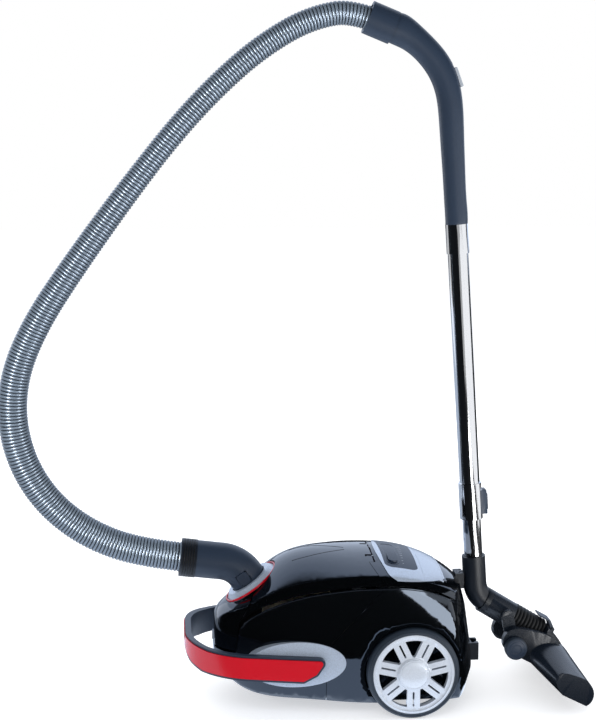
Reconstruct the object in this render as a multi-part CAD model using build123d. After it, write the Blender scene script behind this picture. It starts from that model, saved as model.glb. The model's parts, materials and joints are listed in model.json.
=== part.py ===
from build123d import *
import math
import os

# Canister vacuum cleaner, parked: the wand hangs on the rear of the canister and the hose arches over it.
# Millimetres. +Z is up, +X runs to the rear of the canister, and the floor is at zero height.

# Walls, gaps and fits
WALL = 2.4
SEAM = 0.8
FIT = 0.3
RUN = 0.06

# Canister casing, as sections across its length
# Upper sections: place, crown height, crease half width, crease height, skirt half width, skirt foot height
UPPER = [
    (-301, 146, 24, 139, 38, 88),
    (-280, 174, 46, 164, 66, 88),
    (-245, 196, 68, 184, 92, 100),
    (-200, 232, 88, 212, 109, 150),
    (-150, 255.5, 102, 231, 118, 190),
    (-70, 259.5, 110, 242, 124, 200),
    (0, 256.5, 111, 240, 126, 200),
    (50, 247.5, 107, 231, 122, 195),
    (95, 229, 97, 214, 113, 175),
    (130, 204, 84, 191, 100, 150),
    (152, 170, 72, 160, 90, 130),
]
# Lower sections: place, bottom height, foot half width, waist half width, rim half width, rim height
LOWER = [
    (-300, 72, 30, 44, 42, 128),
    (-280, 58, 52, 72, 70, 150),
    (-245, 38, 78, 99, 96, 190),
    (-200, 30, 94, 116, 113, 215),
    (-150, 28, 104, 124, 122, 232),
    (-70, 22, 112, 129, 128, 240),
    (0, 20, 116, 132, 130, 243),
    (50, 20, 116, 131, 126, 237),
    (95, 21, 112, 126, 117, 224),
    (130, 23, 104, 117, 105, 205),
    (168, 26, 90, 104, 92, 180),
]
# Side views of the seams: place and height
NOSE_FOOT = [(-340, 104), (-264, 104), (-257, 152)]
BELT = [(-257, 152), (-239, 172), (-206, 192.5), (-162, 210), (-100, 222)]
BELT += [(-20, 227), (42, 222), (88, 206), (145, 160)]
BELT_TAIL = (200, 112)
NOSE_SEAM = [(-257, 152), (-225, 211), (-196, 262)]
LID_SEAM = [(-66, 287), (-24, 243), (-4, 218)]
SIDE_SEAM = [(-4, 240), (-112, 123), (-112, 0)]
REAR_WALL = [(80, 330), (115, 232), (128, 219), (141.5, 165), (153, 84), (154, 60), (144, 22)]
REAR_ROUND = 240
PROFILE_REACH = 420
CASING_HALF = 170

# Lid hinge and latch
HINGE_X = -33
HINGE_Z = 252.5
HINGE_PIN_RADIUS = 2
HINGE_POCKET_HALF = 64
HINGE_POCKET_REAR = 10
HINGE_FLAP = 7
HINGE_ARM_Y = 20
HINGE_BOSS_Y = 32
HINGE_BOSS_WIDTH = 8
HINGE_TOP = 3
HINGE_SWEEP = 6.2
LATCH_X = -219
LATCH_Y = -80
LATCH_Z = 203
LATCH_LEAN = 37
LATCH_SIZE = (16, 24)

# Inlet ring and hose elbow
INLET_X = -232
INLET_Z = 202.7
INLET_TILT = 35.5
RING_RADIUS = 50
RING_HEIGHT = 9
ACCENT_WIDTH = 2.4
ELBOW_RADIUS = 32
ELBOW_BORE = 20
SPIGOT_RADIUS = 24
SPIGOT_DEPTH = 18
BOSS_DEPTH = 26
ELBOW_BEND = 60
ELBOW_RISE = 44.7
CUFF_START = (-328, 248)
CUFF_LENGTH = 27
CUFF_RADIUS = 33
CUFF_WALL = 5
CUFF_SLOTS = 5
CUFF_SLOT_WIDTH = 2.2
ELBOW_BUTTON = 20
ELBOW_BUTTON_RISE = 22
ELBOW_BUTTON_THICK = 6
ELBOW_BUTTON_TRAVEL = 3

# Control panel on the deck
PANEL_THICK = 1.2
PANEL_FRONT = [(-38, 287), (-6, 243), (8, 234), (60, 229), (96, 222)]
PANEL_REAR = 96
INSET_X = (-8, 49)
INSET_HALF = 82
INSET_CORNER = 14
PEDAL_X = (56, 92)
PEDAL_Y = (4, 84)
PEDAL_DEPTH = 5
PEDAL_TRAVEL = 3
SLIDER_X = 8
SLIDER_Y = -48
SLIDER_SIZE = (16, 34)
SLIDER_HEIGHT = 3.4
SLIDER_SLOPE = -0.125

# Carrying handle
HANDLE_FRONT = 350
HANDLE_HALF = 128.8
HANDLE_END = -112
HANDLE_BEND = 98
HANDLE_THICK = 10
BAND_THICK = 2.2
BAND_BORDER = 4
BAND_ROUND = 5
# Side view of the red band: it rises to the front, and its arms end on a rounded slant
BAND_SIDE = [
    (-356, 113),
    (-348, 101),
    (-339, 91),
    (-322, 84.5),
    (-250, 79.5),
    (-153, 71.5),
    (-131, 83),
    (-116, 105),
    (-234, 114),
    (-312, 119),
    (-356, 126),
]
TRIM_CENTRE = (-163, 97)
TRIM_SIZE = (83, 39)

# Rear wheels
AXLE_X = 33
TYRE_RADIUS = 78.5
TYRE_WIDTH = 32
TYRE_SHOULDER = 9
RIM_RADIUS = 69
RIM_BARREL = 4
WHEEL_FACE = 143
SPOKES = 7
WINDOW_OUTER = 58.8
WINDOW_INNER = 29.4
SPOKE_WIDTH = 22
SPOKE_SLOT = 3.2
SPOKE_DEPTH = 12
HUB_RADIUS = 27
AXLE_RADIUS = 4
ARCH_GAP = 3
WELL_FLOOR = 104

# Front caster
CASTER_X = -212
CASTER_RADIUS = 11
CASTER_TRAIL = 9
CASTER_WIDTH = 14
CASTER_PIN = 5
CASTER_BOSS = 18
FORK_WALL = 3

# Motor, filter, bag and cord drum
BULKHEAD_X = -40
BULKHEAD_THICK = 3
MOTOR_Y = -42
MOTOR_Z = 112
MOTOR_RADIUS = 47
MOTOR_LENGTH = 110
MOTOR_WALL = 2
SHAFT_RADIUS = 4
FAN_RADIUS = 41
MOUNT_THICK = 5
FILTER_THICK = 6
DRUM_X = 52
DRUM_Z = 124
DRUM_RADIUS = 66
DRUM_HUB = 30
DRUM_WIDTH = 52
DRUM_Y = 24
DRUM_PIN = 6

# Base screws
SCREW_X = (-150, 120)
SCREW_Y = 70
SCREW_RADIUS = 4
SCREW_HEAD = 1.5

# Rear wall: brackets, grille, cord outlet
HOOK_Y = 10.6
HOOK_THICK = 5.4
HOOK_FOOT = 190
HOOK_TOP = 213
BRACKET_X = 126
BRACKET_DEPTH = 15
BRACKET_WALL = 4
LOWER_BRACKET_Z = (54, 85)
LOWER_BRACKET_DEPTH = 15
GRILLE_SIZE = (72, 36)
GRILLE_SLOTS = 9
OUTLET_Y = 66
OUTLET_BORE = 4.5

# Wand
WAND_FOOT = (160, 241.5)
WAND_LEAN = 3.9
OUTER_TUBE_RADIUS = 17.5
INNER_TUBE_RADIUS = 16
TUBE_WALL = 0.9
SOCKET_RADIUS = 19.2
OUTER_TUBE_START = 72
OUTER_TUBE_END = 584
SOCKET_LENGTH = 50
INNER_TUBE_DEPTH = 34
INNER_TUBE_TOP = 520
COLLAR_RADIUS = 20
COLLAR_LENGTH = 60
RELEASE_HEIGHT = 34
RELEASE_THICK = 7
RELEASE_TRAVEL = 4

# Grip
GRIP_START = (-34, 1167)
GRIP_TILT = 22
GRIP_COLLAR_RADIUS = 28
GRIP_COLLAR_LENGTH = 47
GRIP_TOP_RADIUS = 24.5
GRIP_FOOT_RADIUS = 17.8
GRIP_BORE = 15
GRIP_BEND = 150
HOSE_PLUG = 30
SUCTION_PLACE = 0.36
SUCTION_LENGTH = 34

# Nozzle neck and pipe
NECK_RADIUS = 20.5
SWIVEL_CENTRE = (186, 156.5)
SWIVEL_DROP = 31.7
SWIVEL_RADIUS = 23
NECK_BEND = 44
PIPE_BORE = 16.8
PIPE_LENGTH = 50
PIPE_SPIGOT = 14
BELLOWS_END = 112
BELLOWS_RADIUS = 24
BELLOWS_RIBS = 8
BELLOWS_DEPTH = 3

# Nozzle head, in its own frame: the wheel axle is the origin and the sole is level
NOZZLE_AXLE = (227, 87)
NOZZLE_TILT = 27
NOZZLE_HALF = 145
# Cross-sections at its ends, half way out and beside the cheeks: a curved top over a flat foot
HEAD_END = [(78, -19), (62, -9), (54, 6), (62, 16), (80, 20.5)]
HEAD_END += [(99, 22), (115, 17), (125, 8), (129, -4), (124, -19)]
HEAD_MIDDLE_Y = 90
HEAD_MIDDLE = [(64, -18.5), (48, -8.5), (42, 7), (50, 20), (68, 28)]
HEAD_MIDDLE += [(88, 28.5), (108, 21.5), (124, 9.5), (129.5, -4), (124, -19)]
HEAD_ROOT = [(48, -17), (32, -8), (27, 8), (36, 25), (56, 37)]
HEAD_ROOT += [(78, 37), (100, 27), (122, 11), (130, -4), (124, -19)]
NOZZLE_WALL = 2.6
NOZZLE_HOLLOW = [(64, 4), (69, 12), (84, 17), (98, 18.2), (110, 15.5), (121, 6.5), (125, -6)]
SOLE_X = (83, 120.5)
SOLE_THICK = 2.4
MOUTH_X = (95, 110)
MOUTH_HALF = 118
BRUSH_X = (84, 90)
BRUSH_HALF = 116
BRUSH_DROP = 4
HUB_PROFILE = [(41.4, 8), (45, 52), (52, 50.5), (70, 43), (91, 29.5)]
HUB_PROFILE += [(105.5, 20), (121.5, 8), (128, -4), (122.5, -17), (64.2, -17)]
HUB_BORE = 14
CHEEK_TOP = [(-16, -10), (-25, 8), (-20, 24), (-4, 33.5), (14, 38), (38, 43)]
CHEEK_TOP += [(60, 41), (78, 33), (94, 17), (98, 2)]
CHEEK_FOOT = [(90, -12), (60, -14.5), (10, -13.5)]
CHEEK_Y = (32, 46)
NOZZLE_WHEEL_RADIUS = 19.5
NOZZLE_WHEEL_Y = (47, 60)
NOZZLE_PIN = 4
ARM_Y = (24.8, 31)
ARM_RADIUS = 11
PEDAL_TIP = (24, 62)
PEDAL_PLATE = 2.5
PEDAL_PIVOT = (58, 51.5)
PEDAL_HALF = 14
PEDAL_PIN = 1.5
PEDAL_EAR = 3

# Hose, from the cuff to the grip collar: side view of its route, chosen by eye
HOSE_ROUTE = [
    (-336, 249.1),
    (-420, 260),
    (-505, 292),
    (-573, 345),
    (-618, 415),
    (-637, 495),
    (-629, 577),
    (-592, 660),
    (-532, 750),
    (-434, 883),
    (-339, 1001),
    (-248, 1090),
    (-176, 1141),
    (-120, 1167),
    (-60, 1177.5),
    (-6.2, 1155.8),
]
HOSE_LOW_RADIUS = 25.5
HOSE_HIGH_RADIUS = 20
HOSE_TAPER = (0.28, 0.66)
HOSE_WALL = 1.4
RIB_DEPTH = 2.6
RIBS = 198
HOSE_CUTS = (0.30, 0.62)


def block(x, y, z):
    """A box between two places on each axis."""
    size = [b - a for a, b in (x, y, z)]
    middle = [(a + b) / 2 for a, b in (x, y, z)]
    return Pos(*middle) * Box(*size)


def rod(start, direction, radius, length):
    """A cylinder from a point along a direction."""
    plane = Plane(origin=start, z_dir=direction)
    return plane * Cylinder(radius, length, align=(Align.CENTER, Align.CENTER, Align.MIN))


def cross_rod(x, z, radius, low, high):
    """A cylinder along Y."""
    return rod((x, low, z), (0, 1, 0), radius, high - low)


def side_prism(points, low, high):
    """A side-view outline, place and height, given its width along Y."""
    face = Plane.XZ * make_face(Polyline(*points, close=True))
    return Pos(0, high, 0) * extrude(face, high - low)


def across(x):
    """The plane across the canister at one place."""
    return Plane(origin=(x, 0, 0), x_dir=(0, 1, 0), z_dir=(1, 0, 0))


def upper_section(section, inset):
    """The lid's cross-section: a flat foot, two skirts and a crowned top."""
    x, crown, crease, crease_z, skirt, foot = section
    crown -= inset
    crease -= 0.7 * inset
    crease_z -= 0.7 * inset
    skirt -= inset
    side = 0.62 * skirt + 0.38 * crease + 2
    side_z = foot + 0.62 * (crease_z - foot)
    edges = [
        Line((-skirt, foot), (skirt, foot)),
        ThreePointArc((skirt, foot), (side, side_z), (crease, crease_z)),
        ThreePointArc((crease, crease_z), (0, crown), (-crease, crease_z)),
        ThreePointArc((-crease, crease_z), (-side, side_z), (-skirt, foot)),
    ]
    return across(x) * make_face(edges)


def lower_section(section, inset):
    """The tub's cross-section: a flat bottom and two bowed sides."""
    x, bottom, foot, waist, rim, rim_z = section
    bottom += inset
    foot -= inset
    waist -= inset
    rim -= inset
    waist_z = bottom + 0.45 * (rim_z - bottom)
    edges = [
        Line((-foot, bottom), (foot, bottom)),
        ThreePointArc((foot, bottom), (waist, waist_z), (rim, rim_z)),
        Line((rim, rim_z), (-rim, rim_z)),
        ThreePointArc((-rim, rim_z), (-waist, waist_z), (-foot, bottom)),
    ]
    return across(x) * make_face(edges)


def form(sections, shape, inset):
    """The casing's solid form, drawn in by an inset on every side."""
    moved = [list(section) for section in sections]
    moved[0][0] += inset
    moved[-1][0] -= inset
    return loft([shape(section, inset) for section in moved])


def below_belt(rise):
    """All that lies under the seam between tub and lid, raised by a gap."""
    foot = [(x, z + rise) for x, z in NOSE_FOOT]
    belt = [(x, z + rise) for x, z in BELT]
    tail = (BELT_TAIL[0], BELT_TAIL[1] + rise)
    edges = [
        Polyline(*foot),
        Spline(*belt),
        Polyline(belt[-1], tail, (tail[0], -PROFILE_REACH), (foot[0][0], -PROFILE_REACH), foot[0]),
    ]
    face = Plane.XZ * make_face(edges)
    return Pos(0, CASING_HALF, 0) * extrude(face, 2 * CASING_HALF)


def ahead_of(seam, shift):
    """All that lies in front of a seam's side view, moved back by a shift."""
    line = [(x + shift, z) for x, z in seam]
    low, high = sorted((line[0], line[-1]), key=lambda point: point[1])
    line = sorted(line, key=lambda point: point[1])
    points = [(-PROFILE_REACH, -20), (low[0], -20)] + line
    points += [(high[0], PROFILE_REACH), (-PROFILE_REACH, PROFILE_REACH)]
    return side_prism(points, -CASING_HALF, CASING_HALF)


def in_wand(distance):
    """A point on the wand's axis, above the neck's mouth."""
    lean = math.radians(WAND_LEAN)
    return (WAND_FOOT[0] - distance * math.sin(lean), 0, WAND_FOOT[1] + distance * math.cos(lean))


def wand_tube(start, end, outer, inner):
    """A tube along the wand between two distances from the neck's mouth."""
    shell = rod(in_wand(start), WAND_UP, outer, end - start)
    return shell - rod(in_wand(start - 1), WAND_UP, inner, end - start + 2)


WAND_UP = (-math.sin(math.radians(WAND_LEAN)), 0, math.cos(math.radians(WAND_LEAN)))
INLET_AXIS = (-math.sin(math.radians(INLET_TILT)), 0, math.cos(math.radians(INLET_TILT)))
SWIVEL_AXIS = (math.cos(math.radians(SWIVEL_DROP)), 0, -math.sin(math.radians(SWIVEL_DROP)))


def along(start, axis, distance):
    """A point on an axis in the middle plane."""
    return (start[0] + axis[0] * distance, 0, start[1] + axis[2] * distance)


def on_inlet(distance):
    """A point on the inlet's axis, above the ring's seat."""
    return along((INLET_X, INLET_Z), INLET_AXIS, distance)


def on_swivel(distance):
    """A point on the nozzle pipe's axis, past the swivel face."""
    return along(SWIVEL_CENTRE, SWIVEL_AXIS, distance)


def swept_rod(path, radius):
    """A round bar along a path."""
    start = Plane(origin=path @ 0, x_dir=(0, 1, 0), z_dir=path % 0)
    return sweep(start * Circle(radius), path=path)


parts = {}

# Casing forms
upper_outer = form(UPPER, upper_section, 0)
upper_inner = form(UPPER, upper_section, WALL)
nose_outer = form(UPPER, upper_section, WALL + FIT)
nose_inner = form(UPPER, upper_section, 2 * WALL + FIT)
lower_outer = form(LOWER, lower_section, 0)
lower_inner = form(LOWER, lower_section, WALL)
rear_axis = max(x for x, z in REAR_WALL) - REAR_ROUND


def rear_form(inset):
    """All that lies ahead of the rear wall, which is round in plan."""
    wall = [(x - inset, z) for x, z in REAR_WALL]
    outline = Polyline((rear_axis, 0), (rear_axis, wall[0][1]), *wall, (wall[-1][0], 0), close=True)
    turned = revolve(Plane.XZ * make_face(outline), Axis((rear_axis, 0, 0), (0, 0, 1)))
    return turned + block((-PROFILE_REACH, rear_axis), (-CASING_HALF, CASING_HALF), (0, PROFILE_REACH))


rear_limit = rear_form(0)
inner_limit = rear_form(WALL)
above = rear_limit - below_belt(SEAM / 2)
under = rear_limit & below_belt(-SEAM / 2)
ring_clear = rod(on_inlet(-60), INLET_AXIS, RING_RADIUS + ACCENT_WIDTH + 2 * SEAM, 160)

# Rear lower shell with wheel wells, bosses for the stub axles and the drum's pin
tub = (lower_outer - (lower_inner & inner_limit)) & under
behind = ahead_of(SIDE_SEAM, SEAM / 2)
rear_shell = tub - behind
arch = TYRE_RADIUS + ARCH_GAP
for side in (-1, 1):
    well = cross_rod(AXLE_X, TYRE_RADIUS, arch, *sorted((side * WELL_FLOOR, side * CASING_HALF)))
    cup_y = sorted((side * (WELL_FLOOR - WALL), side * CASING_HALF))
    cup = cross_rod(AXLE_X, TYRE_RADIUS, arch + WALL, *cup_y)
    boss_y = sorted((side * (WELL_FLOOR - 16), side * (WELL_FLOOR - WALL)))
    boss = cross_rod(AXLE_X, TYRE_RADIUS, 3 * AXLE_RADIUS, *boss_y)
    rear_shell = rear_shell - well + ((cup - well) & lower_outer & under) + boss
    rear_shell -= cross_rod(AXLE_X, TYRE_RADIUS, AXLE_RADIUS + RUN, *sorted((side * 80, side * CASING_HALF)))
drum_end = DRUM_Y + DRUM_WIDTH
rear_shell += cross_rod(DRUM_X, DRUM_Z, DRUM_PIN, DRUM_Y - 2, WELL_FLOOR - WALL / 2)
rear_shell += cross_rod(DRUM_X, DRUM_Z, 2 * DRUM_PIN, drum_end + FIT, WELL_FLOOR - WALL / 2)

# Rear wall fittings sit in openings of the rear shell
wall_low, wall_high = REAR_WALL[4], REAR_WALL[3]
wall_angle = math.degrees(math.atan2(wall_low[0] - wall_high[0], wall_high[1] - wall_low[1]))
wall_middle = ((wall_low[0] + wall_high[0]) / 2, (wall_low[1] + wall_high[1]) / 2)
wall_frame = Location((wall_middle[0], 0, wall_middle[1]), (0, -wall_angle, 0))
grille_plate = (rear_limit - inner_limit) & wall_frame * Box(8 * WALL, *GRILLE_SIZE)
rear_shell -= wall_frame * Box(8 * WALL, GRILLE_SIZE[0] + 2 * FIT, GRILLE_SIZE[1] + 2 * FIT)
slot_pitch = (GRILLE_SIZE[0] - 8) / GRILLE_SLOTS
for index in range(GRILLE_SLOTS):
    place = (index - (GRILLE_SLOTS - 1) / 2) * slot_pitch
    grille_plate -= wall_frame * Pos(0, place, 0) * Box(8 * WALL, slot_pitch / 2, GRILLE_SIZE[1] - 8)
parts["exhaust_grille"] = grille_plate
outlet_turn = math.degrees(math.asin(OUTLET_Y / (wall_middle[0] - rear_axis)))
round_rear = Pos(rear_axis, 0, 0) * Rot(0, 0, outlet_turn) * Pos(-rear_axis, 0, 0)
outlet_frame = round_rear * wall_frame * Rot(0, 90, 0)
outlet = outlet_frame * Cylinder(2 * OUTLET_BORE, 2 * WALL)
rear_shell -= outlet_frame * Cylinder(2 * OUTLET_BORE + FIT, 8 * WALL)
outlet_lip = Cylinder(2 * OUTLET_BORE + 2, WALL, align=(Align.CENTER, Align.CENTER, Align.MIN))
outlet += outlet_frame * Pos(0, 0, WALL) * outlet_lip
parts["cord_outlet"] = outlet - outlet_frame * Cylinder(OUTLET_BORE, 8 * WALL)

# Front lower tub with the caster's boss
base_tub = tub & ahead_of(SIDE_SEAM, -SEAM / 2)
fork_top = 2 * CASTER_RADIUS + 2
boss_foot = fork_top + FORK_WALL + FIT
boss_top = boss_foot + CASTER_BOSS
base_tub += rod((CASTER_X, 0, boss_foot), (0, 0, 1), 2.2 * CASTER_PIN, boss_top - boss_foot)
base_tub -= rod((CASTER_X, 0, boss_foot - 1), (0, 0, 1), CASTER_PIN + RUN, boss_top - boss_foot - 2)

# Nose housing carries the inlet: its skin lies one wall inside the lid's, so the lid can swing past it
nose_skin = (nose_outer - nose_inner) & above & ahead_of(NOSE_SEAM, -SEAM / 2)
ring_seat = rod(on_inlet(-BOSS_DEPTH), INLET_AXIS, RING_RADIUS + ACCENT_WIDTH, BOSS_DEPTH)
above_seat = rod(on_inlet(0), INLET_AXIS, RING_RADIUS + ACCENT_WIDTH + SEAM, 80)
nose = nose_skin - above_seat + ring_seat
parts["nose_housing"] = nose - rod(on_inlet(-80), INLET_AXIS, SPIGOT_RADIUS + FIT, 200)

# Inlet ring and its red accent stand on the seat
ring = Plane(origin=on_inlet(0), z_dir=INLET_AXIS) * Cone(
    RING_RADIUS, RING_RADIUS - 8, RING_HEIGHT, align=(Align.CENTER, Align.CENTER, Align.MIN)
)
parts["inlet_ring"] = ring - rod(on_inlet(-1), INLET_AXIS, ELBOW_RADIUS + 1.5, RING_HEIGHT + 2)
accent = rod(on_inlet(0), INLET_AXIS, RING_RADIUS + ACCENT_WIDTH, 3)
parts["inlet_accent"] = accent - rod(on_inlet(-1), INLET_AXIS, RING_RADIUS + RUN, 5)

# Lid with hinge arms and moulded pins
upper_skin = (upper_outer - upper_inner) & above
lid_zone = ahead_of(LID_SEAM, -SEAM / 2) - ahead_of(NOSE_SEAM, SEAM / 2)
flap_half = HINGE_POCKET_HALF - SEAM
flap_x = (HINGE_X - 20, HINGE_X + HINGE_FLAP)
flap_zone = block(flap_x, (-flap_half, flap_half), (HINGE_Z - 12, PROFILE_REACH))
lid = (upper_skin & (lid_zone + flap_zone)) - ring_clear
hinge_end = HINGE_BOSS_Y + HINGE_BOSS_WIDTH
for side in (-1, 1):
    sweep_y = sorted((side * (HINGE_BOSS_Y - SEAM), side * (hinge_end + SEAM)))
    lid -= cross_rod(HINGE_X, HINGE_Z, HINGE_SWEEP, *sweep_y)
    lid -= block((HINGE_X, HINGE_X + 2 * HINGE_FLAP), sweep_y, (HINGE_Z - 12, PROFILE_REACH))
    arm_y = sorted((side * HINGE_ARM_Y, side * (HINGE_ARM_Y + 8)))
    arm_points = [(HINGE_X, HINGE_Z - HINGE_TOP), (HINGE_X - 24, HINGE_Z - HINGE_TOP)]
    arm_points += [(HINGE_X - 24, HINGE_Z + 20), (HINGE_X - 12, HINGE_Z + 20)]
    arm_points += [(HINGE_X - 8, HINGE_Z + HINGE_TOP), (HINGE_X, HINGE_Z + HINGE_TOP)]
    arm = side_prism(arm_points, *arm_y) & upper_outer
    arm += cross_rod(HINGE_X, HINGE_Z, HINGE_TOP, *arm_y)
    pin_y = sorted((side * HINGE_ARM_Y, side * (hinge_end - 1)))
    lid += arm + cross_rod(HINGE_X, HINGE_Z, HINGE_PIN_RADIUS, *pin_y)
latch_frame = Location((LATCH_X, LATCH_Y, LATCH_Z), (LATCH_LEAN, 0, 0))
latch_room = latch_frame * Box(LATCH_SIZE[0] + 2 * FIT, LATCH_SIZE[1] + 2 * FIT, 60)
lid_latch = (upper_outer - form(UPPER, upper_section, 2 * WALL)) & latch_frame * Box(*LATCH_SIZE, 60)
parts["lid"] = lid - latch_room
parts["lid_latch"] = lid_latch & lid_zone - ring_clear
seal_band = form(UPPER, upper_section, WALL + 0.1) - form(UPPER, upper_section, WALL + 4)
seal_zone = below_belt(7) - below_belt(3)
parts["lid_seal"] = seal_band & seal_zone & lid_zone & rear_limit - ring_clear - latch_room

# Rear deck with the hinge pocket and its bosses
deck = (upper_skin & inner_limit) + ((upper_outer & above) - inner_limit)
deck -= ahead_of(LID_SEAM, SEAM / 2)
pocket_y = (-HINGE_POCKET_HALF, HINGE_POCKET_HALF)
pocket_rear = HINGE_X + HINGE_POCKET_REAR
pocket = block((HINGE_X - 20, pocket_rear), pocket_y, (HINGE_Z - 12, HINGE_Z + 40))
deck -= pocket
floor_z = HINGE_Z - 10
for side in (-1, 1):
    boss_y = sorted((side * HINGE_BOSS_Y, side * hinge_end))
    deck += block((HINGE_X - 4, pocket_rear + 1), boss_y, (floor_z - 1, HINGE_Z + HINGE_TOP))
deck += block((HINGE_X - 4, pocket_rear + 6), pocket_y, (floor_z - 2, floor_z))
wall_zone = block((pocket_rear, pocket_rear + 6), pocket_y, (floor_z - 2, HINGE_Z + 40))
deck += wall_zone & form(UPPER, upper_section, WALL / 2)
deck -= cross_rod(HINGE_X, HINGE_Z, HINGE_PIN_RADIUS + RUN, -hinge_end - 1, hinge_end + 1)

# Control panel: a thin silver skin with a dark inset, two pedal buttons and a slider
panel_form = form(UPPER, upper_section, -PANEL_THICK)
panel_outline = PANEL_FRONT + [(PANEL_REAR, 330), (PANEL_FRONT[0][0], 330)]
panel_zone = side_prism(panel_outline, -CASING_HALF, CASING_HALF)
panel_skin = (panel_form - form(UPPER, upper_section, -RUN)) & panel_zone
inset_length = INSET_X[1] - INSET_X[0]
inset_middle = (INSET_X[0] + INSET_X[1]) / 2
inset_plan = Pos(inset_middle, 0, 0) * RectangleRounded(inset_length, 2 * INSET_HALF, INSET_CORNER)
inset_room = Pos(inset_middle, 0, 0) * RectangleRounded(
    inset_length + 2 * FIT, 2 * INSET_HALF + 2 * FIT, INSET_CORNER + FIT
)
parts["control_inset"] = panel_skin & extrude(inset_plan, PROFILE_REACH)
panel_skin -= extrude(inset_room, PROFILE_REACH)
pedal_form = panel_form - form(UPPER, upper_section, PEDAL_DEPTH)
for name, side in (("power_button", -1), ("rewind_button", 1)):
    pedal_y = sorted((side * PEDAL_Y[0], side * PEDAL_Y[1]))
    parts[name] = pedal_form & block(PEDAL_X, pedal_y, (0, PROFILE_REACH))
    room_y = (pedal_y[0] - FIT, pedal_y[1] + FIT)
    room = block((PEDAL_X[0] - FIT, PEDAL_X[1] + FIT), room_y, (HINGE_Z - 60, PROFILE_REACH))
    panel_skin -= room
    deck -= room
parts["control_panel"] = panel_skin
slider_top = form(UPPER, upper_section, -PANEL_THICK - SLIDER_HEIGHT)
slider_round = min(SLIDER_SIZE) / 2 - 0.1
slider_plan = Pos(SLIDER_X, SLIDER_Y, 0) * RectangleRounded(*SLIDER_SIZE, slider_round)
slider_body = slider_top & Pos(0, 0, HINGE_Z - 40) * extrude(slider_plan, 80)
# The slider swings over the inset on a wide arc, so its foot is a part of a cylinder
track_line = Line((SLIDER_X, 0, 0), (SLIDER_X, 0, PROFILE_REACH)) & upper_outer
track_top = track_line.bounding_box().max.Z
track_side = Line((SLIDER_X, SLIDER_Y, 0), (SLIDER_X, SLIDER_Y, PROFILE_REACH)) & upper_outer
track_drop = track_top - track_side.bounding_box().max.Z
track_radius = (SLIDER_Y ** 2 + track_drop ** 2) / (2 * track_drop)
track_axis = (SLIDER_X, 0, track_top - track_radius)
print("slider axis", track_axis, "radius", track_radius)
track_dir = Vector(1, 0, SLIDER_SLOPE).normalized()
track_start = Vector(*track_axis) - track_dir * track_radius / 2
foot_radius = (track_radius + PANEL_THICK + 2 * FIT) * track_dir.X
parts["power_slider"] = slider_body - rod(track_start, track_dir, foot_radius, track_radius)

# Parking bracket in a notch of the deck, with a slot for the nozzle's hook
bracket_end = BRACKET_X + BRACKET_DEPTH
bracket_half = HOOK_Y + FIT + BRACKET_WALL
hook_x = (BRACKET_X + BRACKET_WALL, BRACKET_X + BRACKET_WALL + HOOK_THICK)
bracket_y = (-bracket_half, bracket_half)
bracket = block((BRACKET_X, bracket_end), bracket_y, (HOOK_FOOT - BRACKET_WALL, HOOK_TOP))
hook_slot_x = (hook_x[0] - FIT, hook_x[1] + FIT)
hook_slot_y = (-HOOK_Y - FIT, HOOK_Y + FIT)
bracket -= block(hook_slot_x, hook_slot_y, (HOOK_FOOT - FIT, HOOK_TOP + 1))
hook_room_y = (-HOOK_Y / 2 - FIT, HOOK_Y / 2 + FIT)
bracket -= block((hook_x[0], bracket_end + 1), hook_room_y, (HOOK_FOOT - FIT, HOOK_TOP + 1))
parts["park_bracket"] = bracket
notch_y = (-bracket_half - FIT, bracket_half + FIT)
notch = block((BRACKET_X - FIT, bracket_end + 40), notch_y, (HOOK_FOOT - BRACKET_WALL - FIT, HOOK_TOP + 60))
deck -= notch
notch_back = block((BRACKET_X - FIT - WALL, BRACKET_X - FIT), notch_y, (HOOK_FOOT - 20, HOOK_TOP + 40))
deck += notch_back & upper_outer & above
parts["rear_deck"] = deck

# Lower parking bracket on the rear wall
lower_x = wall_low[0] + 1.5
low_z, high_z = LOWER_BRACKET_Z
lower_slot_x = (lower_x + 3, lower_x + 3 + HOOK_THICK + 2 * FIT)
lower_bracket = block((lower_x - 10, lower_x + LOWER_BRACKET_DEPTH), bracket_y, (low_z, high_z)) - rear_limit
lower_bracket -= block(lower_slot_x, hook_slot_y, (low_z + BRACKET_WALL, high_z + 1))
web_half = HOOK_Y / 2 + FIT
lower_room_z = (low_z + BRACKET_WALL, high_z + 1)
lower_bracket -= block((lower_slot_x[0], lower_x + 40), (-web_half, web_half), lower_room_z)
parts["lower_bracket"] = lower_bracket

# Carrying handle: a U whose arms lie on the oval trims
reach = HANDLE_THICK + BAND_THICK
handle_plan = [
    (HANDLE_END, -HANDLE_HALF),
    (reach - HANDLE_FRONT, -HANDLE_HALF),
    (reach - HANDLE_FRONT, HANDLE_HALF),
    (HANDLE_END, HANDLE_HALF),
]


def handle_face(proud):
    """The plan area inside the handle, grown by an offset."""
    points = [(x - (proud if x < HANDLE_END else 0), y + math.copysign(proud, y)) for x, y in handle_plan]
    outline = FilletPolyline(*points, radius=HANDLE_BEND + proud)
    return make_face([outline, Line(points[-1], points[0])])


def handle_shell(inside, outside, outline):
    """A U between two offsets, kept to a side-view outline."""
    ring_face = handle_face(outside) - handle_face(inside)
    return extrude(ring_face, PROFILE_REACH) & extrude(Plane.XZ * outline, CASING_HALF, both=True)


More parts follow.
